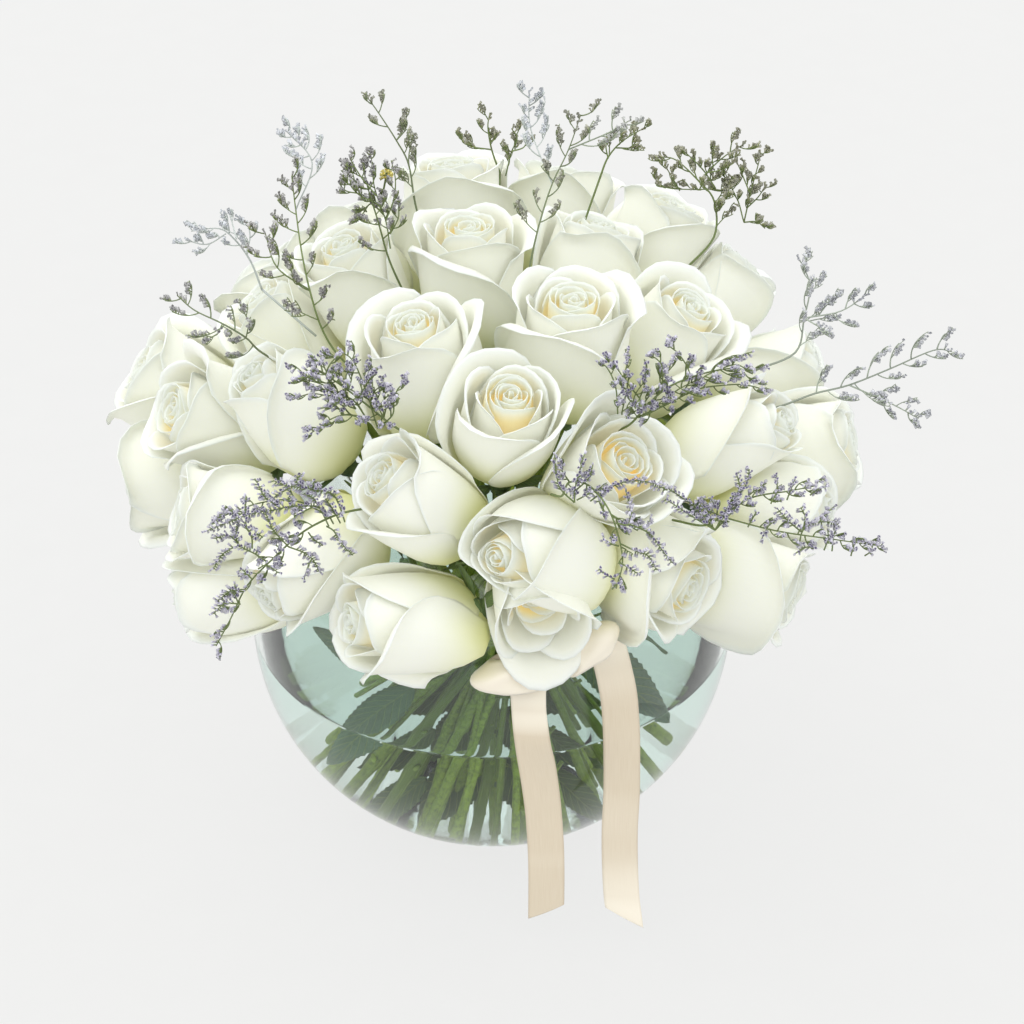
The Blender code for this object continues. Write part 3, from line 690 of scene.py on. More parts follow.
def girdle(axis):
    """The ends of the stretch of a bloom's axis that its width is measured from."""
    receptacle, mouth, _ = axis
    return receptacle.lerp(mouth, AXIS_FROM), receptacle.lerp(mouth, AXIS_TO)


def overlap(number):
    """How far a bloom laps over the flats between it and its neighbours."""
    return BALL_OVERLAP if BLOOMS[number][5] == "ball" else 0.0


def walls_round(number, axes):
    """The flats that a bloom is pressed against: (point on its axis, way out, room)."""
    low, high = girdle(axes[number])
    found = []
    for other, axis in enumerate(axes):
        if other == number:
            continue
        here, there = closest(low, high, *girdle(axis))
        away = there - here
        if away.length < TOUCHING * ROSE_RADIUS:
            room = away.length / 2 - PETAL_GAP + overlap(number) - overlap(other)
            found.append((np.array(here), np.array(away.normalized()), max(room, LEAST_ROOM)))
    centre = Vector((0, 0, BOWL_CENTRE_Z))
    nearest = min((low, high), key=lambda point: (point - centre).length)
    gap = (nearest - centre).length - BOWL_RADIUS - GLASS_GAP
    if gap < GLASS_TOUCHING * ROSE_RADIUS:
        found.append((np.array(nearest), np.array((centre - nearest).normalized()), gap))
    return found


def press(points, walls):
    """Squeezes the points towards the bloom's axis so that all clear the walls, in order."""
    for spot, outward, room in walls:
        ahead = (points - spot) @ outward
        most = ahead.max()
        if most <= room:
            continue
        tight = most / room - 1
        forward = np.maximum(ahead, 0.0)
        squeezed = forward / (1 + tight * (forward / most) ** 1.6)
        points = points + (squeezed - forward)[:, None] * outward
    return points


def make_rose(number, axes, petal_look, thickness):
    """One bloom's petals, pressed against its neighbours, as one object."""
    rng = random.Random(FRONT_SEEDS.get(number, 100 + number))
    receptacle, _, aim = axes[number]
    stand = np.array(stand_on(receptacle, aim))
    builder = Builder()
    wider, longer = FRONT_GROWTH.get(number, (1.0, 1.0))
    for petal in rose_petals(BLOOMS[number][5], rng):
        across, along = (13, 9) if petal.start else (17, 12)
        points, u, v = petal_grid(petal, across, along)
        points = points * (wider, wider, longer) - (0, 0, ROSE_LENGTH * (longer - 1))
        builder.add_grid(points @ stand[:3, :3].T + stand[:3, 3], (u * 0.5 + 0.5, v),
                         (petal.heart, v, petal.shade, 1.0))
    sizes = [len(part) for part in builder.points]
    squeezed = press(np.concatenate(builder.points), walls_round(number, axes))
    builder.points = np.split(squeezed, np.cumsum(sizes)[:-1])
    return thicken(builder.piece(f"bloom_{number + 1:02d}", petal_look), thickness, -1.0)


def tube_grid(builder, points, radii, sides, tone):
    """A round bar of changing radius along points, with closed ends. Its tone's green runs along it."""
    points = np.asarray(points, float)
    tangents = tangents_of(points)
    side = np.cross(tangents[0], (0.0, 0.0, 1.0) if abs(tangents[0][2]) < 0.9 else (1.0, 0.0, 0.0))
    turns = np.arange(sides) * 2 * math.pi / sides
    rings = [np.repeat(points[:1], sides, axis=0)]
    for point, tangent, radius in zip(points, tangents, radii):
        side = unit(side - tangent * side.dot(tangent))
        other = np.cross(tangent, side)
        rings.append(point + radius * (np.cos(turns)[:, None] * side + np.sin(turns)[:, None] * other))
    rings.append(np.repeat(points[-1:], sides, axis=0))
    along = np.linspace(0, 1, len(rings))[:, None]
    red, _, blue, alpha = tone
    builder.add_grid(
        np.stack(rings), (np.arange(sides) / sides, along), (red, along, blue, alpha), closed=True)


# ---- stems ----
STEM_STEPS = 14                 # points of a stem from the waist down to its cut end
STEM_SIDES = 10
THORNED = 0.7                   # share of the stems that have kept a thorn
FILLER_POINTS = 10              # points of each sea lavender stalk between the stems
STALKED_LEAVES = 6              # the first leaves stand away from the bunch, each on its leaf stalk
LEAF_STALK = 0.0009             # radius of such a stalk
TIE_RADIUS = 0.0248
TIE_TURNS = 3
TIE_STEPS = 48                  # points of each turn of the tape
TAPE_RADIUS = 0.0013
CUP_HEIGHTS = (-0.009, -0.006, -0.002, 0.002, 0.004)        # along a calyx, from its receptacle
CUP_RADII = (0.0026, 0.0046, 0.0058, 0.0062, 0.004)
SEPAL_FOOT = 0.0052             # how far from the bloom's axis a sepal starts
SEPAL_WIDTH = 0.0075
SEPAL_THICKNESS = 0.0003


def smooth_route(points, per_span):
    """Points of a Catmull-Rom curve through the given ones."""
    ends = [points[0] * 2 - points[1]] + points + [points[-1] * 2 - points[-2]]
    route = []
    for a, b, c, d in zip(ends, ends[1:], ends[2:], ends[3:]):
        for step in range(per_span):
            t = step / per_span
            route.append(0.5 * (2 * b + (c - a) * t + (2 * a - 5 * b + 4 * c - d) * t * t
                                + (3 * b - a - 3 * c + d) * t * t * t))
    return route + [points[-1]]


def stem_routes(axes):
    """For each bloom its stem's points down to the waist, and its cut end, as the frame has them."""
    order = sorted(range(len(axes)), key=lambda i: -axes[i][1].z)
    routes = {}
    for (count, waist), (foot_reach, foot_z) in zip(WAIST_RINGS, STEM_FEET):
        ring, order = order[:count], order[count:]
        ring.sort(key=lambda i: math.atan2(axes[i][0].x, -axes[i][0].y))
        for slot, index in enumerate(ring):
            receptacle, _, along = axes[index]
            azimuth = 360.0 * slot / count - 180.0 + 180.0 / count
            knot = WAIST + heading(azimuth - SPIRAL) * waist
            turn = math.degrees(math.acos(waist / foot_reach)) if waist else 0.0
            foot = place(azimuth - SPIRAL - turn, foot_reach, foot_z)
            if not waist:
                foot += Vector((WAIST.x, WAIST.y, 0))
            rise = (knot - foot).normalized()
            neck = receptacle - along * (NECK_GAP + 0.012)
            via = [neck]
            reach = math.hypot(neck.x, neck.y)
            if reach > RIM_CROSSING[0]:
                over = Vector((neck.x, neck.y, 0)) * (RIM_CROSSING[0] / reach)
                via.append(over + Vector((0, 0, RIM_CROSSING[1])))
            via += [knot + rise * 0.03, knot]
            routes[index] = [receptacle] + smooth_route(via, 6), foot
    return [routes[i] for i in range(len(axes))]


def bar(builder, points, radii, sides, rng):
    """A round bar in a shade of its own."""
    tube_grid(builder, points, radii, sides, (rng.random(), 0, rng.random(), 1))


def make_stems(axes, look):
    """Every stem from its bloom to its cut end, swelling at the joints where leaves were, with thorns
    and the stubs of cut leaf stalks, and the stalks of the sea lavender between them."""
    rng = random.Random(5)
    builder = Builder()
    for upper, foot in stem_routes(axes):
        knot = upper[-1]
        aside = Vector((knot.y - foot.y, foot.x - knot.x, 0)).normalized()
        foot = foot + aside * rng.uniform(-0.010, 0.010)
        bow = rng.uniform(-0.003, 0.003)
        points = upper + [knot.lerp(foot, t / STEM_STEPS) + aside * bow * math.sin(math.pi * t / STEM_STEPS)
                          for t in range(1, STEM_STEPS + 1)]
        thick = STEM_RADIUS * rng.uniform(0.84, 1.04)
        swell = [1 + 0.3 * max(i - len(upper), 0) / STEM_STEPS for i in range(len(points))]
        radii = [thick * (0.8 if i < 2 else swell[i]) for i in range(len(points))]
        joints = [len(upper) + rng.randrange(2, 6), len(upper) + rng.randrange(7, 12)]
        for joint in joints:
            radii[joint] *= 1.3
            radii[joint - 1] *= 1.1
            points[joint] = points[joint] + Vector((rng.uniform(-1, 1), rng.uniform(-1, 1), 0)) * 0.0008
            out = heading(rng.uniform(0, 360), rng.uniform(20, 60))
            length = rng.uniform(0.004, 0.011)
            stub = [points[joint], points[joint] + out * length * 0.6, points[joint] + out * length]
            bar(builder, stub, (0.0019, 0.0012, 0.0011), 7, rng)
        bar(builder, points, radii, STEM_SIDES, rng)
        if rng.random() < THORNED:
            thorn = points[rng.randrange(len(upper) - 4, len(points) - 3)]
            out = Vector((rng.uniform(-1, 1), rng.uniform(-1, 1), 0.2)).normalized()
            spike = [thorn, thorn + out * 0.0035, thorn + out * 0.0065 - Vector((0, 0, 0.001))]
            bar(builder, spike, (0.0014, 0.0007, 0.0001), 6, rng)
    for foot, tip, *_ in LEAVES[:STALKED_LEAVES]:
        foot, tip = Vector(foot) * MM, Vector(tip) * MM
        root = Vector((foot.x * 0.3, foot.y * 0.3 - 0.008, foot.z - 0.006))
        stalk = smooth_route([root, root.lerp(foot, 0.5) - Vector((0, 0, 0.004)), foot.lerp(tip, 0.06)], 5)
        bar(builder, stalk, [LEAF_STALK] * len(stalk), 7, rng)
    for (count, waist), (middle, _) in zip(WAIST_RINGS[1:], STEM_FEET[1:]):
        for number in range(count):
            azimuth = 360.0 * (number + 0.5) / count - 180.0 + 180.0 / count - SPIRAL
            knot = WAIST + heading(azimuth) * waist
            reach = middle * rng.uniform(0.8, 1.02)
            turn = math.degrees(math.acos(waist / reach)) * rng.uniform(0.4, 1.1)
            foot = place(azimuth - turn, reach, rng.uniform(0.020, 0.04))
            stalk = [knot + (knot - foot) * 0.15 + (foot - knot) * 1.15 * t / (FILLER_POINTS - 1)
                     for t in range(FILLER_POINTS)]
            bar(builder, stalk, [rng.uniform(0.0012, 0.0018)] * FILLER_POINTS, 8, rng)
    return builder.piece("stems", look, closed=True)


def make_tie(look):
    """The florist's tape, wound round the waist of the bunch."""
    points = []
    for i in range(TIE_TURNS * TIE_STEPS + 1):
        angle = 2 * math.pi * i / TIE_STEPS
        wobble = 0.0006 * math.sin(5 * angle) + 0.0004 * math.sin(11 * angle)
        radius = TIE_RADIUS + wobble
        height = -0.003 + 0.006 * i / (TIE_TURNS * TIE_STEPS)
        points.append(WAIST + Vector((radius * math.cos(angle), radius * math.sin(angle), height)))
    builder = Builder()
    tube_grid(builder, points, [TAPE_RADIUS] * len(points), 8, (0.5, 0, 0.5, 1))
    return builder.piece("tie", look, closed=True)


def leaf_grid(builder, base, tip, facing, width, sag, tone, rows=34, columns=9):
    """A rose leaflet: an oval blade with a toothed edge, folded a little along its midrib."""
    along = tip - base
    across = along.cross(facing).normalized()
    up = across.cross(along).normalized()
    u = np.linspace(-1, 1, columns)[None, :]
    v = np.linspace(0, 1, rows)[:, None]
    half = width / 2 * np.sin(math.pi * v ** 0.82) ** 0.75 * (1 - 0.25 * v)
    teeth = 1 + 0.09 * (np.arange(rows) % 2)[:, None] * (np.abs(u) > 0.99)
    x = u * half * teeth + 1e-5 * u
    lift = 0.22 * np.abs(u) * half - sag * v ** 2 + 0.04 * width * np.sin(9 * v + 2 * u)
    points = (np.array(base) + v[..., None] * np.array(along) + x[..., None] * np.array(across)
              + lift[..., None] * np.array(up))
    red, _, blue, alpha = tone
    builder.add_grid(points, (u * 0.5 + 0.5, v), (red, np.abs(u), blue, alpha))


# Leaves that were left on the stems: foot, tip, the way the blade faces, its width and how far its
# tip sags. Millimetres. The first ones stand against the glass and are bloomy, not olive.
OUTER_LEAVES = 3
LEAVES = (
    ((44, -52, 130), (88, -84, 104), (0.25, -1.0, 0.5), 27, -3),
    ((-40, -58, 106), (-82, -74, 74), (-0.2, -1.0, 0.2), 22, -3),
    ((-55, -70, 128), (-88, -66, 150), (-0.3, -1.0, 0.6), 15, 2),
    ((10, 40, 118), (40, 82, 122), (0.2, 0.6, 0.9), 24, 3),
    ((-30, 50, 104), (-50, 88, 70), (-0.4, 1.0, 0.2), 22, -3),
    ((60, 10, 104), (92, 6, 66), (1.0, 0.2, 0.2), 20, -2),
    ((-30, -30, 40), (-66, -52, 24), (-0.2, -0.8, 0.7), 16, 2),
    ((24, -40, 52), (58, -70, 34), (0.3, -0.8, 0.7), 15, 2),
    ((-20, 10, 92), (-58, 42, 50), (-0.2, -1.0, 0.3), 26, -3),
    ((0, 15, 92), (-6, 62, 42), (0.0, -1.0, 0.4), 28, -3),
    ((18, 10, 92), (56, 46, 52), (0.3, -1.0, 0.3), 26, -3),
    ((-5, -8, 58), (-60, 2, 27), (-0.1, -0.6, 1.0), 30, 2),
    ((5, -8, 58), (60, 2, 27), (0.1, -0.6, 1.0), 30, 2),
    ((-4, -4, 48), (-24, 42, 21), (0.0, -0.6, 1.0), 30, 2),
    ((4, -4, 48), (24, 42, 21), (0.0, -0.6, 1.0), 30, 2),
    ((-3, -16, 42), (-34, -32, 19), (0.0, -0.6, 1.0), 27, 2),
    ((3, -16, 42), (30, -36, 19), (0.0, -0.6, 1.0), 27, 2),
)


def make_leaves(look, thickness):
    """The leaves inside the bowl."""
    builder = Builder()
    rng = random.Random(11)
    for number, (foot, tip, facing, width, sag) in enumerate(LEAVES):
        olive = rng.uniform(0.0, 0.3) if number < OUTER_LEAVES else rng.uniform(0.7, 1.0)
        leaf_grid(builder, Vector(foot) * MM, Vector(tip) * MM, Vector(facing), width * MM, sag * MM,
                  (olive, 0, rng.random(), 1))
    return thicken(builder.piece("stem_leaves", look), thickness)


def make_calyces(axes, look):
    """The green cup under each bloom, with its five sepals turned down or pressed to the petals."""
    builder = Builder()
    rng = random.Random(21)
    for receptacle, _, aim in axes:
        stand = stand_on(receptacle, aim)
        cup = [stand @ Vector((0, 0, z)) for z in CUP_HEIGHTS]
        tone = (rng.random(), 0, rng.random(), 1)
        tube_grid(builder, cup, CUP_RADII, 12, tone)
        spin = rng.uniform(0, 72)
        for i in range(5):
            turn = math.radians(spin + 72 * i)
            out = Vector((math.cos(turn), math.sin(turn), 0))
            length = rng.uniform(0.017, 0.024)
            rise = rng.uniform(-0.3, 0.75)
            foot = stand @ (out * SEPAL_FOOT + Vector((0, 0, -0.001)))
            outward = out * (SEPAL_FOOT + length * math.cos(rise))
            tip = stand @ (outward + Vector((0, 0, length * math.sin(rise))))
            face = stand.to_3x3() @ (Vector((0, 0, 1)) * math.cos(rise) - out * math.sin(rise))
            leaf_grid(builder, foot, tip, -face, SEPAL_WIDTH, 0.002, tone, rows=9, columns=3)
    return thicken(builder.piece("calyces", look), SEPAL_THICKNESS)


# ---- sea lavender: where it stands ----
# Each sprig's main stalk, and its twigs: the stalk point they leave from, then their own points.
# Millimetres, as the frame has them.
SPRIGS = {
    "limonium_front_left": (
        ((-47, -97, 290), (-54, -106, 303), (-66, -101, 311), (-79, -92, 315), (-93, -88, 310)),
        ((1, (-62, -94, 320), (-73, -82, 324)), (1, (-48, -102, 316)), (2, (-80, -103, 306))),
    ),
    "limonium_left_low": (
        ((-65, -125, 260), (-73, -137, 265), (-86, -142, 260), (-99, -146, 249), (-112, -147, 234),
         (-121, -146, 214), (-131, -143, 192)),
        ((1, (-89, -134, 272), (-106, -133, 270), (-132, -130, 257)), (3, (-92, -152, 258))),
    ),
    "limonium_left_tall": (
        ((-72, -50, 298), (-79, -58, 318), (-84, -54, 336), (-88, -41, 350), (-91, -24, 362),
         (-94, -5, 376)),
        ((2, (-99, -50, 346), (-107, -28, 358)), (4, (-84, 0, 374), (-100, 42, 372))),
    ),
    "limonium_back_left": (
        ((-49, 6, 318), (-54, 11, 336), (-59, 23, 348), (-64, 40, 362)),
        ((2, (-69, 18, 354), (-74, 28, 358)),),
    ),
    "limonium_far_left": (
        ((-110, -36, 292), (-116, -43, 304), (-127, -40, 310), (-141, -29, 311), (-154, -14, 314)),
        ((1, (-112, -40, 320)), (2, (-131, -52, 306))),
    ),
    "limonium_top_left": (
        ((-38, 76, 312), (-41, 80, 332), (-47, 83, 344), (-56, 92, 355), (-66, 101, 366)),
        ((2, (-38, 80, 356)),),
    ),
    "limonium_top": (
        ((20, 6, 320), (24, 10, 337), (30, 22, 351), (38, 31, 365), (46, 43, 384)),
        ((2, (20, 46, 368), (19, 62, 388)), (3, (59, 44, 368), (74, 52, 374))),
    ),
    "limonium_back_right": (
        ((112, 52, 305), (112, 58, 322), (104, 61, 332), (93, 68, 340), (79, 71, 342)),
        ((2, (116, 70, 340), (133, 78, 348)), (1, (126, 60, 326))),
    ),
    "limonium_right_high": (
        ((150, -2, 270), (154, 4, 286), (157, 14, 299), (150, 29, 312)),
        ((1, (172, 4, 290), (191, 14, 298)), (1, (171, -6, 280))),
    ),
    "limonium_far_right": (
        ((140, -42, 264), (155, -44, 272), (172, -41, 275), (192, -33, 279), (214, -24, 284),
         (229, -26, 284)),
        ((2, (193, -44, 266), (211, -50, 258)),),
    ),
    "limonium_front_right": (
        ((64, -93, 286), (71, -101, 301), (81, -96, 308), (96, -88, 310), (113, -76, 306),
         (127, -71, 298)),
        ((1, (61, -97, 313), (54, -86, 320)), (2, (78, -84, 317))),
    ),
    "limonium_arching": (
        ((32, -131, 272), (35, -141, 286), (44, -149, 289), (53, -161, 282), (58, -172, 266),
         (54, -180, 248)),
        ((1, (27, -137, 298)), (3, (70, -165, 272))),
    ),
    "limonium_right_low": (
        ((98, -119, 247), (105, -131, 260), (119, -123, 265), (138, -110, 260), (157, -92, 252)),
        ((1, (131, -128, 250), (160, -112, 234), (190, -96, 218)), (1, (90, -137, 273))),
    ),
}
# The densest sprigs spread into a fan of further lines. Millimetres.
FANS = {
    "limonium_back_left": (
        ((-49, 20, 317), (-51, 24, 330), (-56, 27, 346), (-57, 30, 356), (-58, 34, 364)),
        ((-51, 20, 332), (-47, 25, 341), (-46, 29, 350), (-48, 34, 358)),
        ((-53, 20, 340), (-62, 25, 344), (-70, 29, 344), (-74, 34, 346)),
        ((-55, 20, 346), (-62, 25, 353), (-66, 29, 358), (-68, 34, 359)),
        ((-52, 20, 336), (-58, 25, 339), (-62, 29, 332), (-66, 34, 324)),
        ((-49, 20, 325), (-45, 27, 330), (-45, 34, 334)),
    ),
    "limonium_back_right": (
        ((128, 64, 307), (123, 66, 321), (113, 69, 323), (101, 71, 322), (88, 74, 322), (81, 76, 329)),
        ((113, 64, 326), (107, 68, 334), (101, 72, 339), (97, 76, 341)),
        ((105, 64, 326), (110, 70, 335), (113, 76, 342)),
        ((123, 64, 322), (119, 70, 329), (117, 76, 333)),
        ((128, 64, 307), (131, 68, 322), (134, 72, 333), (136, 76, 340)),
        ((130, 64, 324), (126, 70, 332), (124, 76, 335)),
        ((129, 64, 315), (135, 70, 318), (139, 76, 321)),
        ((95, 64, 325), (91, 70, 330), (88, 76, 333)),
        ((128, 64, 307), (135, 70, 304), (140, 76, 297)),
    ),
    "limonium_front_left": (
        ((-52, -106, 293), (-45, -111, 303), (-44, -110, 310), (-42, -107, 315), (-37, -108, 319)),
        ((-57, -104, 297), (-64, -104, 299), (-68, -101, 302), (-74, -95, 303), (-83, -92, 303),
         (-92, -91, 299)),
        ((-57, -104, 297), (-61, -105, 299), (-68, -101, 297), (-74, -95, 291), (-80, -93, 285),
         (-84, -95, 283)),
        ((-62, -102, 301), (-66, -103, 310), (-66, -102, 316), (-65, -99, 319), (-59, -100, 326)),
        ((-59, -103, 300), (-61, -105, 307), (-58, -105, 313), (-55, -102, 317), (-52, -103, 320)),
        ((-62, -102, 301), (-66, -103, 304), (-72, -100, 311), (-75, -95, 315), (-83, -91, 317)),
        ((-72, -98, 310), (-75, -100, 318), (-73, -99, 323), (-71, -96, 325), (-75, -94, 327)),
        ((-52, -106, 293), (-54, -108, 303), (-55, -106, 307), (-53, -103, 311), (-49, -104, 315)),
        ((-57, -104, 297), (-63, -104, 307), (-70, -100, 307), (-77, -94, 309), (-87, -90, 310)),
        ((-52, -106, 293), (-49, -109, 303), (-50, -108, 307), (-47, -105, 310)),
    ),
    "limonium_front_right": (
        ((58, -101, 297), (57, -104, 311), (55, -103, 318), (52, -100, 322), (49, -101, 324)),
        ((73, -96, 295), (78, -97, 311), (78, -96, 319), (76, -93, 321), (72, -93, 324)),
        ((87, -92, 300), (91, -93, 310), (90, -92, 316), (86, -90, 322), (83, -90, 325),
         (79, -95, 331)),
        ((68, -97, 293), (81, -96, 299), (90, -92, 302), (97, -87, 302), (107, -83, 301),
         (116, -84, 302), (124, -84, 300), (128, -81, 295)),
        ((90, -91, 301), (93, -93, 305), (98, -90, 310), (104, -85, 310), (113, -81, 311),
         (120, -83, 308)),
        ((75, -95, 295), (81, -96, 300), (84, -94, 304), (90, -89, 305), (94, -87, 306)),
        ((81, -94, 298), (77, -98, 298), (69, -99, 294), (62, -97, 292)),
        ((63, -99, 295), (64, -102, 299), (66, -100, 307), (71, -94, 311)),
        ((60, -100, 296), (60, -103, 300), (62, -101, 311), (63, -97, 316)),
        ((68, -97, 294), (70, -100, 302), (74, -97, 306), (79, -92, 306)),
    ),
}
# Open low sprigs have slender side shoots with a few florets on either side. Millimetres.
SIDE_SHOOTS = {
    "limonium_left_low": (
        ((-72, -138, 262), (-75, -140, 270), (-80, -143, 275), (-90, -149, 279),
         (-98, -152, 279), (-105, -152, 278),
         (-112, -153, 276), (-119, -150, 271), (-129, -148, 265)),
        ((-67, -135, 261), (-69, -137, 271), (-72, -139, 279), (-79, -143, 284),
         (-86, -147, 288), (-91, -149, 290), (-97, -152, 295)),
        ((-84, -146, 286), (-87, -147, 291), (-85, -147, 295)),
        ((-78, -142, 282), (-80, -144, 287), (-79, -143, 289)),
        ((-90, -149, 289), (-95, -151, 287), (-98, -151, 284)),
        ((-95, -150, 279), (-101, -152, 286), (-103, -152, 291), (-105, -152, 296)),
        ((-89, -148, 278), (-91, -149, 283), (-90, -149, 285)),
        ((-74, -140, 262), (-77, -141, 271), (-80, -143, 279), (-84, -146, 284)),
        ((-69, -136, 261), (-72, -138, 270), (-75, -140, 277)),
        ((-81, -144, 275), (-85, -146, 274), (-89, -148, 273)),
        ((-92, -149, 257), (-98, -151, 267), (-100, -152, 274), (-102, -152, 280)),
        ((-90, -148, 259), (-93, -149, 260), (-91, -149, 263), (-88, -148, 263)),
        ((-102, -152, 251), (-107, -153, 256), (-113, -153, 260), (-115, -152, 264), (-114, -153, 273)),
        ((-113, -153, 260), (-116, -152, 259), (-122, -149, 253), (-127, -148, 244)),
        ((-114, -153, 262), (-119, -151, 265), (-125, -148, 261)),
        ((-108, -153, 259), (-108, -153, 265), (-110, -153, 271), (-110, -153, 280), (-109, -153, 287)),
        ((-108, -153, 265), (-105, -152, 266), (-103, -152, 264)),
        ((-115, -152, 274), (-116, -152, 277), (-116, -152, 279)),
        ((-121, -149, 270), (-122, -149, 272), (-122, -149, 275)),
        ((-115, -153, 228), (-119, -151, 227), (-123, -150, 226), (-128, -148, 219)),
        ((-113, -153, 235), (-119, -151, 234), (-126, -148, 226)),
        ((-116, -153, 229), (-117, -152, 232), (-117, -152, 238)),
        ((-106, -152, 247), (-102, -152, 249), (-97, -151, 244)),
        ((-109, -153, 242), (-112, -153, 246), (-114, -153, 248)),
        ((-92, -149, 257), (-86, -146, 252), (-82, -144, 247), (-79, -142, 238)),
        ((-82, -144, 247), (-84, -145, 243), (-86, -146, 237)),
        ((-75, -140, 262), (-72, -138, 258), (-69, -136, 250), (-64, -133, 241)),
        ((-83, -145, 262), (-81, -143, 257), (-77, -141, 252)),
    ),
    "limonium_right_low": (
        ((102, -136, 256), (107, -131, 264), (113, -125, 271), (112, -120, 277)),
        ((110, -128, 267), (116, -124, 272), (118, -119, 278)),
        ((102, -136, 256), (111, -131, 264), (119, -125, 269), (126, -120, 271)),
        ((128, -125, 263), (131, -120, 267), (131, -115, 273)),
        ((136, -119, 261), (138, -115, 264), (140, -111, 267)),
        ((148, -109, 257), (151, -105, 257), (156, -100, 256)),
        ((102, -136, 256), (95, -132, 264), (88, -130, 269), (80, -128, 274)),
        ((102, -136, 256), (94, -135, 261), (88, -134, 265), (79, -131, 270)),
        ((101, -135, 257), (99, -131, 263), (100, -127, 268)),
        ((103, -135, 257), (108, -130, 264), (111, -126, 270)),
        ((102, -136, 256), (97, -134, 260), (93, -131, 266)),
        ((130, -129, 256), (127, -131, 255), (123, -135, 249)),
        ((142, -127, 242), (144, -122, 246), (150, -114, 245), (162, -105, 239)),
        ((150, -114, 245), (156, -107, 245), (160, -103, 246)),
        ((144, -122, 246), (145, -118, 251), (143, -116, 255)),
        ((143, -123, 246), (136, -125, 254), (131, -124, 260)),
        ((151, -121, 235), (146, -124, 238), (141, -128, 238)),
        ((159, -116, 230), (160, -111, 235), (162, -105, 238)),
        ((155, -118, 232), (157, -114, 235), (157, -112, 239)),
        ((169, -110, 223), (170, -108, 227), (170, -105, 230)),
        ((176, -107, 221), (179, -105, 222), (180, -103, 224)),
        ((117, -135, 257), (119, -132, 259), (121, -130, 262)),
    ),
    "limonium_arching": (
        ((37, -153, 283), (37, -150, 287), (39, -149, 296), (41, -148, 305)),
        ((37, -150, 287), (43, -149, 293), (45, -149, 300)),
        ((37, -153, 283), (31, -150, 288), (29, -149, 295), (28, -148, 305)),
        ((44, -152, 283), (49, -150, 286), (54, -149, 289),
         (62, -149, 292), (72, -145, 288), (79, -142, 282)),
        ((38, -151, 283), (44, -150, 286), (49, -149, 288)),
        ((50, -159, 282), (48, -151, 283), (50, -150, 287)),
        ((55, -168, 282), (61, -169, 282), (62, -159, 282), (61, -151, 283), (60, -150, 287)),
        ((61, -169, 282), (66, -168, 279), (71, -169, 276), (75, -172, 271), (80, -173, 264)),
        ((65, -168, 280), (69, -165, 279), (71, -160, 279)),
        ((57, -177, 277), (64, -177, 273), (69, -176, 270), (73, -177, 263)),
        ((56, -177, 276), (53, -177, 277), (49, -174, 278)),
        ((56, -181, 270), (60, -182, 268), (65, -182, 264)),
        ((54, -184, 263), (51, -184, 265), (47, -183, 268)),
        ((53, -186, 259), (55, -185, 261), (56, -185, 262)),
    ),
}
# Tufts of the same flower, too slight to be pieces of the frame, that stand up between blooms.
TUFTS = {
    "tuft_pale_left": (
        ((-112, 10, 300), (-117, 13, 314), (-124, 16, 324), (-132, 19, 329), (-146, 22, 326)),
        ((-123, 10, 328), (-125, 16, 333), (-127, 22, 336)),
        ((-119, 10, 320), (-117, 16, 325), (-118, 22, 331)),
        ((-128, 10, 331), (-138, 16, 322), (-149, 22, 321)),
    ),
    "tuft_back": (
        ((5, 104, 315), (1, 107, 326), (-1, 109, 338), (0, 112, 345)),
        ((8, 104, 313), (11, 107, 325), (14, 109, 332), (11, 112, 336)),
        ((11, 104, 327), (17, 108, 327), (19, 112, 329)),
        ((1, 104, 328), (-10, 108, 328), (-16, 112, 331)),
    ),
    "tuft_top_right": (
        ((55, 70, 329), (59, 73, 339), (66, 75, 347), (77, 78, 353)),
        ((59, 70, 340), (58, 74, 345), (60, 78, 347)),
        ((63, 70, 346), (71, 74, 344), (75, 78, 345)),
    ),
}
# For some sprigs, line by line, how far its florets have faded and how far they have opened; the
# last value holds for the lines after it.
STATES = {
    "tuft_pale_left": ((0.75, 1.0),), "tuft_back": ((0.0, 0.25),), "tuft_top_right": ((0.0, 0.2),),
    "limonium_far_left": ((0.1, 0.6),), "limonium_top_left": ((0.1, 0.3),),
    "limonium_top": ((0.1, 0.3), (0.75, 1.0), (0.3, 0.5)), "limonium_right_high": ((0.45, 0.8),),
    "limonium_far_right": ((0.4, 0.8),), "limonium_back_right": ((0.0, 0.25),),
    "limonium_left_tall": ((0.0, 0.55), (0.0, 0.55), (0.7, 1.0)), "limonium_back_left": ((0.0, 0.6),),
}
# ---- sea lavender: how it grows ----
YELLOW_STALK = ((-52, 20, 336), (-54, 26, 338), (-52, 32, 343), (-50.5, 34, 350))
YELLOW_FLORETS = 26
SPRIG_HEART = Vector((0, 0, 0.19))          # the point that every sprig grows away from
SPRIG_ROOT = 0.022              # how far a stalk is rooted below the point where it comes out
TUFT_ROOT = 0.036
# How thick the stalks, twigs and side shoots are at the foot, and what they thin to.
STALK, TWIG, SHOOT = 0.0006, 0.0004, 0.0004
TWIG_END, SHOOT_END = 0.00026, 0.00024
# How far apart the sprays on a line stand, and how long they are: on a plain sprig, on an open one
# with side shoots, on a tuft, and on the dense lines of a fan.
SPRAY_GAP, PLAIN_REACH, OPEN_REACH, TUFT_REACH = 0.0066, 0.0175, 0.008, 0.011
FAN_GAP, FAN_REACH = 0.0052, 0.0068
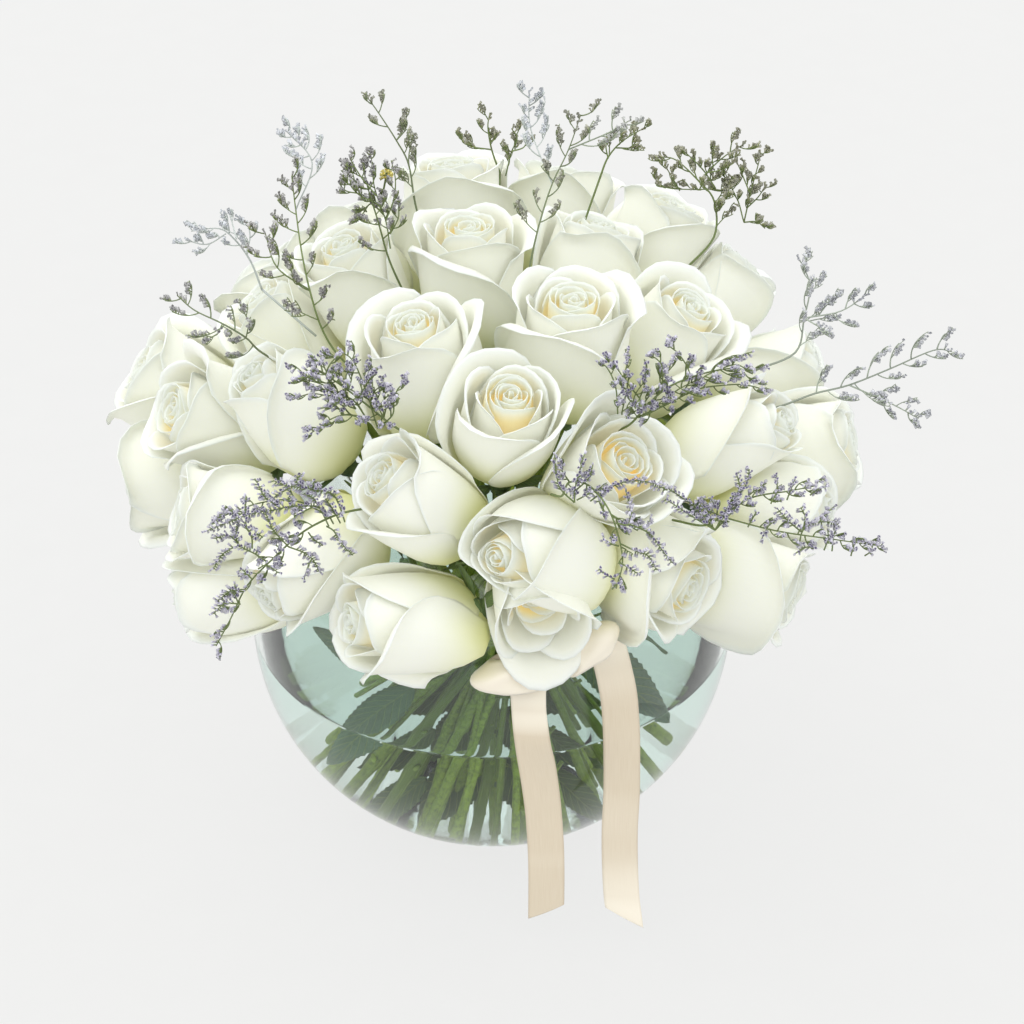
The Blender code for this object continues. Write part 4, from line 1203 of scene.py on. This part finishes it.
# A floret from its foot up over the rim and down into its throat: radius and height in millimetres.
FLORET = ((0.28, 0.0), (0.5, 1.7), (1.12, 3.5), (0.46, 2.9), (0.0, 2.8))
FLORET_RIM = 2                  # the row of it whose every other point is drawn in
FLORET_SIDES = 5
FLORET_SPACING = 0.0014
FRESH = ((0.0, 1.0),)           # the state of a sprig that has none of its own: not faded, wide open


def tone_of(state, rng):
    """The tone of a shoot or a floret: how faded it is, a shade of its own, and how far it is open."""
    return state[0], 0, rng.random(), state[1]


def floret(builder, foot, upright, sideways, size, tone):
    """One papery floret standing on a branchlet."""
    turns = np.arange(FLORET_SIDES) * 2 * math.pi / FLORET_SIDES
    radii, heights = (np.array(v)[:, None] * MM * size * np.ones(FLORET_SIDES) for v in zip(*FLORET))
    radii[FLORET_RIM, ::2] *= 0.62
    points = (foot + heights[..., None] * upright + (radii * np.cos(turns))[..., None] * sideways
              + (radii * np.sin(turns))[..., None] * np.cross(upright, sideways))
    rise = np.linspace(0, 1, len(FLORET))[:, None]
    red, _, blue, alpha = tone
    builder.add_grid(points, (turns / math.tau, rise), (red, rise, blue, alpha), closed=True, slot=1)


def comb(builder, path, curl, begin, splay, state, rng):
    """Florets in a row along a shoot, all on the side that it curls to."""
    lengths = lengths_along(path)
    count = max(int(lengths[-1] * (1 - begin) / FLORET_SPACING), 2)
    for i in range(count):
        share = begin + (1 - begin) * (i + 0.5) / count
        here = spots_along(path, lengths, share * lengths[-1])
        low = min(int(np.searchsorted(lengths, share * lengths[-1])), len(path) - 1)
        along = unit(path[low] - path[low - 1])
        inward = squared(curl, along)
        across = np.cross(along, inward)
        upright = unit(inward + along * rng.uniform(0.2, 0.8) + across * rng.uniform(-splay, splay))
        size = rng.uniform(0.78, 1.18) * (1.05 - 0.3 * share)
        floret(builder, here, upright, unit(np.cross(upright, along)), size, tone_of(state, rng))


def arch(start, aim, curl, length, bend, count):
    """Points along a shoot that arches from its aim towards its curl, and the curl squared to it."""
    curl = squared(curl, aim)
    t = np.linspace(0, 1, count)[:, None]
    return start + length * (aim * (t - 0.16 * bend * t ** 3) + curl * bend * t ** 2 * 0.8), curl


def branchlet(builder, start, aim, curl, length, state, rng):
    """A short shoot with its florets standing in a row along the inside of its arch."""
    path, curl = arch(start, aim, curl, length, rng.uniform(0.25, 0.6), 5)
    tube_grid(builder, path, np.linspace(0.0003, 0.00022, 5), 4, tone_of(state, rng))
    comb(builder, path, curl, 0.2, 0.7, state, rng)


def spray(builder, start, aim, curl, length, state, rng):
    """A side branch: bare at its foot, then short shoots left and right, and its own row of florets."""
    path, curl = arch(start, aim, curl, length, rng.uniform(0.3, 0.7), 9)
    tube_grid(builder, path, np.linspace(0.00038, 0.00024, 9), 4, tone_of(state, rng))
    comb(builder, path, curl, 0.45, 0.6, state, rng)
    side = np.cross(aim, curl) * rng.choice((-1, 1))
    for step in range(3, 8):
        if rng.random() < 0.25 or step * length < 8 * 0.002:
            continue
        ahead = unit(path[step] - path[step - 1])
        out = unit(ahead * 0.75 + side * rng.uniform(0.5, 0.9) + curl * rng.uniform(0.0, 0.4))
        short = (0.0032 + 0.22 * length) * rng.uniform(0.7, 1.2) * (1.2 - 0.07 * step)
        branchlet(builder, path[step], out, ahead + curl, short, state, rng)
        side = -side


def flowering(builder, path, begin, gap, reach, state, rng):
    """Sprays left and right along a line of the sprig, from a share of its length onwards."""
    lengths = lengths_along(path)
    total = lengths[-1]
    at = begin * total
    side = rng.choice((-1, 1))
    while at < total:
        here = spots_along(path, lengths, at)
        low = max(int(np.searchsorted(lengths, at)), 1)
        along = unit(path[low] - path[low - 1])
        out = unit(unit(here - np.array(SPRIG_HEART)) + (0, -0.25, 0.35))
        across = unit(np.cross(along, out))
        over = np.cross(across, along)
        aim = along * rng.uniform(0.25, 0.7) + across * side * rng.uniform(0.8, 1.15)
        aim = unit(aim + over * rng.uniform(-0.3, 0.5))
        length = reach * rng.uniform(0.65, 1.2) * (1.15 - 0.6 * at / total)
        spray(builder, here, aim, along + 0.7 * over, length, state, rng)
        side = -side
        at += gap * rng.uniform(0.7, 1.3)


def curve(points, per_span):
    """A smooth line through points given in millimetres."""
    return np.array(smooth_route([Vector(p) * MM for p in points], per_span), float)


def twig(builder, points, thick, begin, gap, reach, state, rng):
    """One flowering line of a sprig, from thick to a thread, ending in a row of florets."""
    path = curve(points, 6)
    tube_grid(builder, path, np.linspace(thick, TWIG_END, len(path)), 6, tone_of(state, rng))
    flowering(builder, path, begin, gap, reach, state, rng)
    comb(builder, path[-5:], np.array((0.2, -0.3, 1.0)), 0.1, 0.9, state, rng)


def side_shoot(builder, points, state, rng):
    """A slender shoot with florets to both sides."""
    path = curve(points, 5)
    tube_grid(builder, path, np.linspace(SHOOT, SHOOT_END, len(path)), 5, tone_of(state, rng))
    upward = np.array((0.1, -0.4, 1.0))
    comb(builder, path, upward, 0.16, 0.8, state, rng)
    comb(builder, path, -upward, 0.3, 0.8, state, rng)


def make_sprig(name, lines, seed, looks, reach):
    """One sprig from its flowering lines, the thick main one first. A dense sprig's lines are short,
    and its sprays stand close and short on them. A tuft has a bare stalk down between the blooms."""
    rng = random.Random(seed)
    builder = Builder()
    states = STATES.get(name, FRESH)
    twig(builder, lines[0], STALK, 0.36, SPRAY_GAP, reach, states[0], rng)
    for number, line in enumerate(lines[1:]):
        state = states[min(number + 1, len(states) - 1)]
        twig(builder, line, TWIG, 0.2, SPRAY_GAP * 0.85, reach * 0.8, state, rng)
    for line in FANS.get(name, ()):
        twig(builder, line, TWIG, 0.2, FAN_GAP, FAN_REACH, states[0], rng)
    for line in SIDE_SHOOTS.get(name, ()):
        side_shoot(builder, line, states[0], rng)
    if name in TUFTS:
        top = Vector(lines[0][0]) * MM
        down = (SPRIG_HEART - top).normalized() * TUFT_ROOT
        stalk = [top + down * (4 - step) / 4 for step in range(5)]
        tube_grid(builder, stalk, [STALK] * 5, 6, (states[0][0], 0, 0.5, states[0][1]))
    return builder.piece(name.replace("limonium", "sprig"), *looks, closed=True)


def make_yellow_head(looks):
    """The one small round yellow head among the sprigs at the back."""
    rng = random.Random(77)
    builder = Builder()
    stalk = np.array(YELLOW_STALK, float) * MM
    tube_grid(builder, stalk, (0.0006, 0.0005, 0.0005, 0.0005), 6, (0, 0, 0.5, 1))
    for number in range(YELLOW_FLORETS):
        turn, lift = number * 2.4, math.asin(1 - 1.7 * (number + 0.5) / YELLOW_FLORETS)
        out = np.array(heading(math.degrees(turn), math.degrees(lift)))
        side = unit(np.cross(out, (0.3, 0.9, 0.1)))
        size = rng.uniform(0.8, 1.0)
        floret(builder, stalk[-1] + out * 0.0004, out, side, size, tone_of(FRESH[0], rng))
    return builder.piece("yellow_head", *looks, closed=True)


def sprig_lines(stalk, twigs):
    """A sprig's lines: its stalk, rooted a little way down and cut short by its end spray, and twigs."""
    first = Vector(stalk[0])
    root = first + (SPRIG_HEART / MM - first).normalized() * SPRIG_ROOT / MM
    lines = [[root, *stalk]] + [[stalk[start], *points] for start, *points in twigs]
    for line in lines:
        before, last = Vector(line[-2]), Vector(line[-1])
        line[-1] = before.lerp(last, max(1 - 6 / (last - before).length, 0.35))
    return lines


# ---- bowl and water ----
def turned_grid(builder, outline, steps=128, slot=0):
    """A form turned about the bowl's upright axis from an outline of (radius, height) points."""
    radii, heights = np.array(outline, float).T[..., None]
    turns = np.arange(steps) * 2 * math.pi / steps
    points = side_by_side((len(outline), steps), (radii * np.cos(turns), radii * np.sin(turns), heights))
    climb = np.linspace(0, 1, len(outline))[:, None]
    builder.add_grid(points, (turns / math.tau, climb), (0, 0, 0, 1), closed=True, slot=slot)


def arc(radius, angles, reach=0.0, height=BOWL_CENTRE_Z):
    """Outline points round a centre, by default the bowl's own, at angles above the horizontal."""
    return [(reach + radius * math.cos(a), height + radius * math.sin(a)) for a in angles]


def latitude(height, radius):
    """The angle at which a sphere about the bowl's centre reaches a height."""
    return math.asin((height - BOWL_CENTRE_Z) / radius)


def make_bowl(looks):
    """The blown bowl: a wall with a fire-polished lip, and a foot ground flat with a shallow hollow.
    Its wetted inside has a look of its own."""
    inner = BOWL_RADIUS - BOWL_WALL
    rim = BOWL_CENTRE_Z + math.sqrt(BOWL_RADIUS ** 2 - MOUTH_RADIUS ** 2)
    slope = math.degrees(latitude(rim, BOWL_RADIUS))
    top = math.radians(slope)
    middle = BOWL_RADIUS - BOWL_WALL / 2
    lip = (middle * math.cos(top), BOWL_CENTRE_Z + middle * math.sin(top))
    line = latitude(WATER_LEVEL, inner)
    wetted = [(0.0, BOWL_FLOOR), (0.02, BOWL_FLOOR), (0.034, BOWL_FLOOR + 0.0004)]
    wetted += arc(inner, np.linspace(latitude(BOWL_FLOOR + 0.0022, inner), line, 36))
    outline = arc(inner, np.linspace(line, top, 30))
    outline += arc(BOWL_WALL / 2 + 0.0002, np.radians(np.linspace(slope + 165, slope + 15, 9)), *lip)
    outline += arc(BOWL_RADIUS, np.linspace(top, latitude(0.0022, BOWL_RADIUS), 56))
    foot = outline[-1][0]
    outline += [(foot - 0.0016, 0.0006), (foot - 0.0036, 0.0), (foot - 0.007, 0.0),
                (foot - 0.009, 0.0006), (0.02, 0.0012), (0.0, 0.0014)]
    builder = Builder()
    turned_grid(builder, wetted, slot=1)
    turned_grid(builder, outline)
    return builder.piece("bowl", *looks, closed=True)


def make_water(looks):
    """The water: it wets the glass and creeps a little way up it. Its surface and its sides differ."""
    side = BOWL_RADIUS - BOWL_WALL + 0.00015
    wetted = [(0.0, BOWL_FLOOR - 0.0002), (0.02, BOWL_FLOOR - 0.0002), (0.034, BOWL_FLOOR + 0.0002)]
    wetted += arc(side, np.linspace(
        latitude(BOWL_FLOOR + 0.0021, side), latitude(WATER_LEVEL + 0.0012, side), 40))
    reach = wetted[-1][0]
    surface = [wetted[-1]]
    for inward, drop in ((0.0006, 0.0006), (0.0014, 0.0009), (0.003, 0.00115), (0.006, 0.0012)):
        surface.append((reach - inward, WATER_LEVEL + 0.0012 - drop))
    surface += [(reach * share, WATER_LEVEL) for share in (0.8, 0.6, 0.4, 0.2, 0.0)]
    builder = Builder()
    turned_grid(builder, wetted, slot=1)
    turned_grid(builder, surface)
    return builder.piece("vase_water", *looks, closed=True)


# ---- ribbon ----
# The tails' middle lines as the frame has them, and how far each station turns about its own
# length, in degrees. Millimetres.
TAIL_LEFT = (
    (17.5, -125, 168, 10), (17, -129, 161, 18), (17.3, -133, 150, 22), (19, -136.5, 134, 14),
    (22, -131, 110, -4), (24.5, -128.5, 86, -8), (26, -128.5, 62, 0), (26.5, -129.5, 42, 2),
    (26.5, -129, 18, 4),
)
TAIL_RIGHT = (
    (54.5, -115, 178, -14), (56.4, -117.5, 170, -13), (58.5, -118.8, 161, -12), (61, -120, 147, -8),
    (62.5, -120.5, 128, -4), (63.2, -119.5, 108, 6), (63.5, -120, 88, 4), (63, -122, 65, -2),
    (63.5, -124, 44, 0), (64.5, -127.5, 27, 6), (66, -131, 15.5, 12),
)
# Each tail's name and line, and how far its cut slants.
TAILS = (("tail_left", TAIL_LEFT, -0.0053), ("tail_right", TAIL_RIGHT, 0.006))
BOW_KNOT = Vector((28, -119, 167))
BOW_TIPS = (Vector((-8, -130, 166)), Vector((57, -126, 193)))
PICOT_STEP = 0.0011             # one loop of the woven edge to the next
PICOT_DEPTH = 0.00022
BAND_COLUMNS = 13               # points across the ribbon
ACROSS = np.linspace(-1, 1, BAND_COLUMNS)   # from one edge to the other
WEAVE_LENGTH = 0.1              # how much ribbon one turn of its v holds
SLANT_REACH = 0.012             # the last part of a tail, which its slanting cut draws out
LOOP_STEPS = 24                 # points of a bow loop's middle line
LOOP_PUFF = 0.0105              # how far a loop stands open
KNOT_STEPS = 60
KNOT_OUT, KNOT_UP = 0.0046, 0.0052          # half the knot's depth and height


def ribbon_band(centres, sides, faces, width, cut=0.0, belly=0.0, pleat=0.0, light=0.0):
    """The points, uv and tone of a band along centres, and its length. sides and faces are its
    crosswise and outward unit vectors, and light is how far it is lightened by painted sheen."""
    u = ACROSS[:, None]
    travelled = lengths_along(centres)
    points = centres[:, None] + u * sides[:, None] * width / 2
    points = points + (1 - u ** 2) * belly * faces[:, None]
    points = points + np.sin(u * 2.5 * math.pi) * pleat * faces[:, None]
    near_end = np.clip((travelled - travelled[-1] + SLANT_REACH) / SLANT_REACH, 0, 1)[:, None, None]
    points = points + u * near_end * cut * tangents_of(centres)[:, None]
    ripple = (np.arange(len(centres)) % 2)[:, None, None] * PICOT_DEPTH - PICOT_DEPTH / 2
    points = points + np.where(np.abs(u) > 0.99, np.sign(u) * ripple * sides[:, None], 0)
    uv = ((ACROSS + 1) / 2, travelled[:, None] / WEAVE_LENGTH)
    return points, uv, (np.abs(ACROSS) > 0.85, light, 0, 1), travelled[-1]


def evenly(line, gap):
    """Points along a line at equal spacing."""
    line = np.array(line, float)
    lengths = lengths_along(line)
    return spots_along(line, lengths, np.linspace(0, lengths[-1], max(int(lengths[-1] / gap), 2)))


def make_tail(name, stations, cut, look, width, thickness):
    """One hanging tail of the ribbon, cut on the slant. Returns it and its length."""
    line = smooth_route([Vector(tuple(v * MM for v in s[:3]) + (math.radians(s[3]),)) for s in stations], 20)
    spots = evenly(line, PICOT_STEP / 2)
    centres, turn = spots[:, :3], spots[:, 3:]
    tangents = tangents_of(centres)
    sides = unit(np.array([1.0, 0.0, 0.0]) - tangents * tangents[:, :1])
    faces = np.cross(sides, tangents)
    faces *= np.where(faces[:, 1:2] > 0, -1, 1)
    sides, faces = sides * np.cos(turn) + faces * np.sin(turn), faces * np.cos(turn) - sides * np.sin(turn)
    # Painted sheen: the parts that tip up to the light are lightened towards the satin's sheen colour.
    upturned = np.clip((faces[:, 2:] - 0.05) * 4.0, 0, 1)
    *band, length = ribbon_band(centres, sides, faces, width, cut=cut, belly=0.0007, light=upturned)
    builder = Builder()
    builder.add_grid(*band)
    return thicken(builder.piece(name, look), thickness), length


def bow_middle():
    """The middle of the bow's knot, and the way out from the bowl there."""
    knot = BOW_KNOT * MM
    return knot, Vector((knot.x, knot.y, knot.z - BOWL_CENTRE_Z)).normalized()


def make_bow(look, width, thickness):
    """The bow's loops, gathered at the knot and puffed at their tips. Returns it and its cut length."""
    knot, outward = bow_middle()
    builder = Builder()
    total = 0.0
    for tip in BOW_TIPS:
        along = tip * MM - knot
        across = along.cross(outward).normalized()
        stations = []
        for step in range(LOOP_STEPS + 1):
            turn = 2 * math.pi * step / LOOP_STEPS
            reach = (1 - math.cos(turn)) / 2
            puff = LOOP_PUFF * math.sin(turn) * (0.45 + 0.55 * reach)
            stations.append(knot + along * reach * 0.98 + outward * (puff + 0.001))
        centres = evenly(smooth_route(stations, 4), PICOT_STEP / 2)
        reach = np.clip((centres - np.array(knot)) @ np.array(along) / along.length_squared, 0, 1)
        spread = smoothstep(0.0, 0.55, reach)[:, None, None]
        sides = np.ones((len(centres), 1)) * np.array(across)
        faces = np.cross(sides, tangents_of(centres))
        # Painted sheen: the loops are lightened all over.
        points, uv, tone, length = ribbon_band(centres, sides, faces, width, light=1.0)
        u = ACROSS[:, None]
        fold = np.sin(u * 7.0) * 0.0013 * (1 - 0.8 * spread)
        wrinkle = np.sin(u * 4 + reach[:, None, None] * 9) * 0.0009
        points = (centres[:, None] + (points - centres[:, None]) * (0.5 + 0.5 * spread)
                  + faces[:, None] * (fold + wrinkle)
                  - np.array(along.normalized()) * u ** 2 * 0.009 * spread
                  + faces[:, None] * (1 - u ** 2) * 0.003 * spread)
        builder.add_grid(points, uv, tone)
        total += length
    return thicken(builder.piece("bow_loops", look), thickness), total


def make_knot(look, width, thickness):
    """The turn of ribbon round the middle of the bow, folded lengthwise. Returns it and its length."""
    knot, outward = bow_middle()
    along = (BOW_TIPS[1] - BOW_TIPS[0]).normalized()
    up = outward.cross(along).normalized()
    turns = np.linspace(0, 2 * math.pi, KNOT_STEPS)
    ring = [knot + outward * (KNOT_OUT * math.cos(t)) + up * (KNOT_UP * math.sin(t)) for t in turns]
    centres = np.array(ring, float)
    faces = unit(centres - np.array(knot))
    sides = np.ones((KNOT_STEPS, 1)) * np.array(along)
    # Painted sheen: the knot is lightened most of the way.
    *band, length = ribbon_band(centres, sides, faces, width * 0.55, belly=0.0012, pleat=0.0009, light=0.8)
    builder = Builder()
    builder.add_grid(*band)
    return thicken(builder.piece("bow_knot", look), thickness), length


# ---- settings ----
def colour(name, description, value):
    """A setting that is a colour, from an sRGB hex value."""
    return FloatVectorProperty(name=name, description=description, subtype="COLOR", size=3,
                               min=0.0, max=1.0, default=linear(value))


def amount(name, description, value, low, high, **kind):
    """A setting that is a number, with its unit or subtype."""
    return FloatProperty(name=name, description=description, min=low, max=high, default=value, **kind)


def measure(*about):
    """A setting that is a length in metres."""
    return amount(*about, unit="LENGTH", precision=4)


class RoseSettings(bpy.types.PropertyGroup):
    petal: colour("Petal", "Colour of a petal in full light", "#FCFCF5")
    petal_shade: colour("Petal mottle", "Second colour of a petal, in soft patches", "#F9FAEB")
    # Partly the foot's own colour, partly painted shade for the shaded lower part of a petal.
    foot: colour("Petal foot", "Colour towards the foot of a petal", "#ECEDA0")
    # Partly the heart's own colour, partly painted glow: the petals also give it off as light deep in the
    # heart.
    heart: colour("Heart", "Colour deep in the heart of a bloom", "#F8E7A6")
    rim: colour("Rim", "Colour of the thin rim of a petal", "#F1F6F6")
    bruise: colour("Bruise", "Colour of the few spots on a petal", "#A98E63")
    thickness: measure("Petal thickness", "Thickness of a petal", 0.0003, 0.0001, 0.001)


class GreenerySettings(bpy.types.PropertyGroup):
    young_stem: colour("Young stem", "Colour of a fresh green stem", "#AEC444")
    old_stem: colour("Old stem", "Colour of a dull older stem", "#697C2E")
    stem_joint: colour("Lime", "Colour of the paler streaks, joints and veins", "#CFE07A")
    leaf: colour("Leaf", "Colour of a leaf", "#5E8062")
    leaf_bloom: colour("Leaf bloom", "Colour of the bloom on a leaf", "#9DB5A0")
    leaf_thickness: measure("Leaf thickness", "Thickness of a leaf", 0.0004, 0.0001, 0.001)


class SeaLavenderSettings(bpy.types.PropertyGroup):
    twig: colour("Twig", "Colour of the twigs", "#808F58")
    twig_shade: colour("Twig shade", "Darker green of the twigs", "#58673C")
    calyx: colour("Calyx", "Colour of a papery cup", "#A39EB2")
    calyx_rim: colour("Calyx rim", "Colour of a cup's rim", "#ECEAF2")
    throat: colour("Throat", "Colour inside a cup", "#686082")
    bleached: colour("Bleached", "Colour that the far sprigs fade to", "#D6DBDB")
    bud: colour("Bud", "Colour of a floret that is still closed", "#8E8F62")
    yellow: colour("Yellow head", "Colour of the one yellow flower head", "#F4E88E")
    yellow_throat: colour("Yellow throat", "Colour inside its florets", "#E2CC60")


class GlasswareSettings(bpy.types.PropertyGroup):
    glass: colour("Glass", "Tint of the glass", "#F6FBF9")
    water: colour("Water", "Tint of the water", "#F0F8F5")
    # Painted shade and reflection: a darker teal tint on the water's surface alone, which darkens what is
    # seen into the bowl through it.
    water_top: colour("Water from above", "Tint of the water seen through its surface", "#B0CDC2")


class RibbonSettings(bpy.types.PropertyGroup):
    satin: colour("Satin", "Colour of the ribbon in light", "#E6D9C2")
    satin_shade: colour("Satin shade", "Colour between the bright threads", "#DACAAF")
    satin_edge: colour("Edge", "Colour of the woven edge", "#DACAB1")
    # The colour of the painted sheen, which lightens the ribbon where it tips up to the light and over the
    # bow's loops and knot.
    satin_light: colour("Loops", "Colour of the thin single cloth of the bow's loops", "#FAF1DE")
    width: measure("Ribbon width", "Width of the ribbon", RIBBON_WIDTH, 0.005, 0.05)
    thickness: measure("Ribbon thickness", "Thickness of the ribbon", 0.00035, 0.0001, 0.001)


class StudioSettings(bpy.types.PropertyGroup):
    paper: colour("Paper", "Colour of the backdrop paper", "#4C4C4B")
    paper_shade: colour("Paper tooth", "Second colour of the paper's tooth", "#464645")
    glow: amount("Paper glow", "How bright the paper is from behind", 0.85, 0.0, 2.0)
    air: colour("Air", "Colour of the light from all round", "#FAFCFF")
    air_strength: amount("Air strength", "Strength of the light from all round", 1.40, 0.0, 5.0)
    floor_reach: measure("Floor radius", "Radius of the round floor", 12.0, 1.0, 20.0)
    key_strength: amount("Key light", "Strength of the soft main light", 0.65, 0.0, 20.0)
    key_softness: amount("Key softness", "Apparent size of the main light", math.radians(48), 0.0, 3.1,
                         subtype="ANGLE")
    lens: amount("Lens", "Focal length of the camera in millimetres", 100.7, 10.0, 300.0)


class ArrangementSettings(bpy.types.PropertyGroup):
    roses: PointerProperty(type=RoseSettings)
    greenery: PointerProperty(type=GreenerySettings)
    sea_lavender: PointerProperty(type=SeaLavenderSettings)
    glassware: PointerProperty(type=GlasswareSettings)
    ribbon: PointerProperty(type=RibbonSettings)
    studio: PointerProperty(type=StudioSettings)


# ---- operators ----
class ROSEBOWL_OT_studio(bpy.types.Operator):
    """Lays the pale floor and sets the soft light and the camera"""
    bl_idname = "rose_bowl.studio"
    bl_label = "Studio"

    def execute(self, context):
        studio = context.scene.rose_bowl.studio
        builder = Builder()
        reach = studio.floor_reach
        turned_grid(builder, [(0, 0), (0.2, 0), (0.6, 0), (reach * 0.5, 0), (reach, 0)], 96)
        floor = builder.piece("floor", paper_material(studio))
        floor.location.z = -FLOOR_GAP

        world = bpy.data.worlds.new("studio_air")
        context.scene.world = world
        world.use_nodes = True
        world.node_tree.nodes.clear()
        node = partial(add, world.node_tree)
        # A broad overhead softbox that fades to the backdrop's own brightness at the horizon.
        up = node("SeparateXYZ", {0: node("TexCoord").outputs["Generated"]}).outputs[2]
        strength = node("MapRange", {0: up, 1: 0.03, 2: 0.75, 3: 0.9, 4: studio.air_strength}, **EASED)
        air = node("Background", {"Color": studio.air, "Strength": strength})
        node("OutputWorld", {"Surface": air})

        sun = bpy.data.lights.new("key_light", "SUN")
        sun.energy = studio.key_strength
        sun.angle = studio.key_softness
        sun.color = linear("#FFFCF5")
        key = new_object("key_light", sun)
        key.rotation_euler = heading(*KEY_FROM).to_track_quat("Z", "Y").to_euler()

        lens = bpy.data.cameras.new("camera")
        lens.lens = studio.lens
        lens.clip_end = 100.0
        camera = new_object("camera", lens)
        camera.location = CAMERA_SPOT
        camera.rotation_euler = CAMERA_AIM
        context.scene.camera = camera
        context.scene.view_settings.view_transform = "Standard"
        return {"FINISHED"}


class ROSEBOWL_OT_roses(bpy.types.Operator):
    """Makes every bloom's petals in place of its body in the frame"""
    bl_idname = "rose_bowl.roses"
    bl_label = "Roses"

    def execute(self, context):
        settings = context.scene.rose_bowl.roses
        look = petal_material(settings)
        axes = bloom_axes()
        for number in range(len(BLOOMS)):
            made = make_rose(number, axes, look, settings.thickness)
            ride(made, "rose_petal", f"rose_{number + 1:02d}")
        return {"FINISHED"}


class ROSEBOWL_OT_greenery(bpy.types.Operator):
    """Makes the stems, their tape, the leaves and the green cups under the blooms"""
    bl_idname = "rose_bowl.greenery"
    bl_label = "Stems and leaves"

    def execute(self, context):
        settings = context.scene.rose_bowl.greenery
        bark = stem_material(settings)
        leaf = leaf_material(settings)
        axes = bloom_axes()
        ride(make_stems(axes, bark), "rose_stem", "rose_stems")
        ride(make_tie(tape_material(settings)), "rose_stem")
        ride(make_calyces(axes, leaf), "rose_stem")
        ride(make_leaves(leaf, settings.leaf_thickness), "rose_stem")
        return {"FINISHED"}


class ROSEBOWL_OT_sea_lavender(bpy.types.Operator):
    """Makes the sprigs of sea lavender"""
    bl_idname = "rose_bowl.sea_lavender"
    bl_label = "Sea lavender"

    def execute(self, context):
        settings = context.scene.rose_bowl.sea_lavender
        stalk_look = twig_material(settings)
        looks = (stalk_look, calyx_material(
            settings, "sea_lavender_papery_calyx", settings.calyx, settings.calyx_rim, settings.throat))
        yellow_look = calyx_material(
            settings, "yellow_statice_calyx", settings.yellow, settings.yellow, settings.yellow_throat)
        for number, (name, (stalk, twigs)) in enumerate(SPRIGS.items()):
            reach = OPEN_REACH if name in SIDE_SHOOTS else PLAIN_REACH
            made = make_sprig(name, sprig_lines(stalk, twigs), 300 + number, looks, reach)
            ride(made, "sea_lavender", name)
        for number, (name, lines) in enumerate(TUFTS.items()):
            ride(make_sprig(name, lines, 400 + number, looks, TUFT_REACH), "sea_lavender")
        ride(make_yellow_head((stalk_look, yellow_look)), "sea_lavender")
        return {"FINISHED"}


class ROSEBOWL_OT_glassware(bpy.types.Operator):
    """Makes the glass bowl and the water in it"""
    bl_idname = "rose_bowl.glassware"
    bl_label = "Bowl and water"

    def execute(self, context):
        settings = context.scene.rose_bowl.glassware
        bowl = make_bowl((
            glass_material(settings.glass, "clear_soda_glass", GLASS_INDEX),
            glass_material(settings.glass, "clear_soda_glass_wetted", GLASS_INDEX / WATER_INDEX)))
        water = make_water((
            # The surface's darker teal tint is painted shade and reflection.
            water_material(settings.water_top, "vase_water_surface", WATER_INDEX),
            water_material(settings.water, "vase_water_sides", 1.0)))
        ride(bowl, "clear_glass", "glass_bowl")
        ride(water, "water", "water")
        return {"FINISHED"}


class ROSEBOWL_OT_ribbon(bpy.types.Operator):
    """Makes the satin bow and its two tails"""
    bl_idname = "rose_bowl.ribbon"
    bl_label = "Ribbon"

    def execute(self, context):
        settings = context.scene.rose_bowl.ribbon
        look = satin_material(settings)
        width, thickness = settings.width, settings.thickness
        for name, stations, cut in TAILS:
            made, length = make_tail(name, stations, cut, look, width, thickness)
            ride(made, "satin_ribbon", "ribbon_" + name)
        bow, length = make_bow(look, width, thickness)
        ride(bow, "satin_ribbon", "ribbon_bow")
        knot, length = make_knot(look, width, thickness)
        ride(knot, "satin_ribbon")
        return {"FINISHED"}


STEPS = (ROSEBOWL_OT_studio, ROSEBOWL_OT_roses, ROSEBOWL_OT_greenery, ROSEBOWL_OT_sea_lavender,
         ROSEBOWL_OT_glassware, ROSEBOWL_OT_ribbon)
GROUPS = (RoseSettings, GreenerySettings, SeaLavenderSettings, GlasswareSettings, RibbonSettings,
          StudioSettings, ArrangementSettings)


class ROSEBOWL_PT_pieces(bpy.types.Panel):
    """Lists the arrangement's pieces and their settings"""
    bl_idname = "ROSEBOWL_PT_pieces"
    bl_label = "Rose bowl"
    bl_space_type = "VIEW_3D"
    bl_region_type = "UI"
    bl_category = "Rose bowl"

    def draw(self, context):
        for step in STEPS:
            self.layout.operator(step.bl_idname)
        settings = context.scene.rose_bowl
        for group in settings.bl_rna.properties:
            if group.type != "POINTER" or group.identifier == "rna_type":
                continue
            box = self.layout.box()
            box.label(text=group.identifier.replace("_", " ").capitalize())
            pointed = getattr(settings, group.identifier)
            for value in pointed.bl_rna.properties:
                if value.identifier not in ("rna_type", "name"):
                    box.prop(pointed, value.identifier)


def register():
    for group in GROUPS + STEPS + (ROSEBOWL_PT_pieces,):
        bpy.utils.register_class(group)
    bpy.types.Scene.rose_bowl = PointerProperty(type=ArrangementSettings)


def unregister():
    del bpy.types.Scene.rose_bowl
    for group in reversed(GROUPS + STEPS + (ROSEBOWL_PT_pieces,)):
        bpy.utils.unregister_class(group)


def main():
    register()
    for step in STEPS:
        namespace, name = step.bl_idname.split(".")
        getattr(getattr(bpy.ops, namespace), name)()
    bpy.context.view_layer.update()


if __name__ == "__main__":
    main()
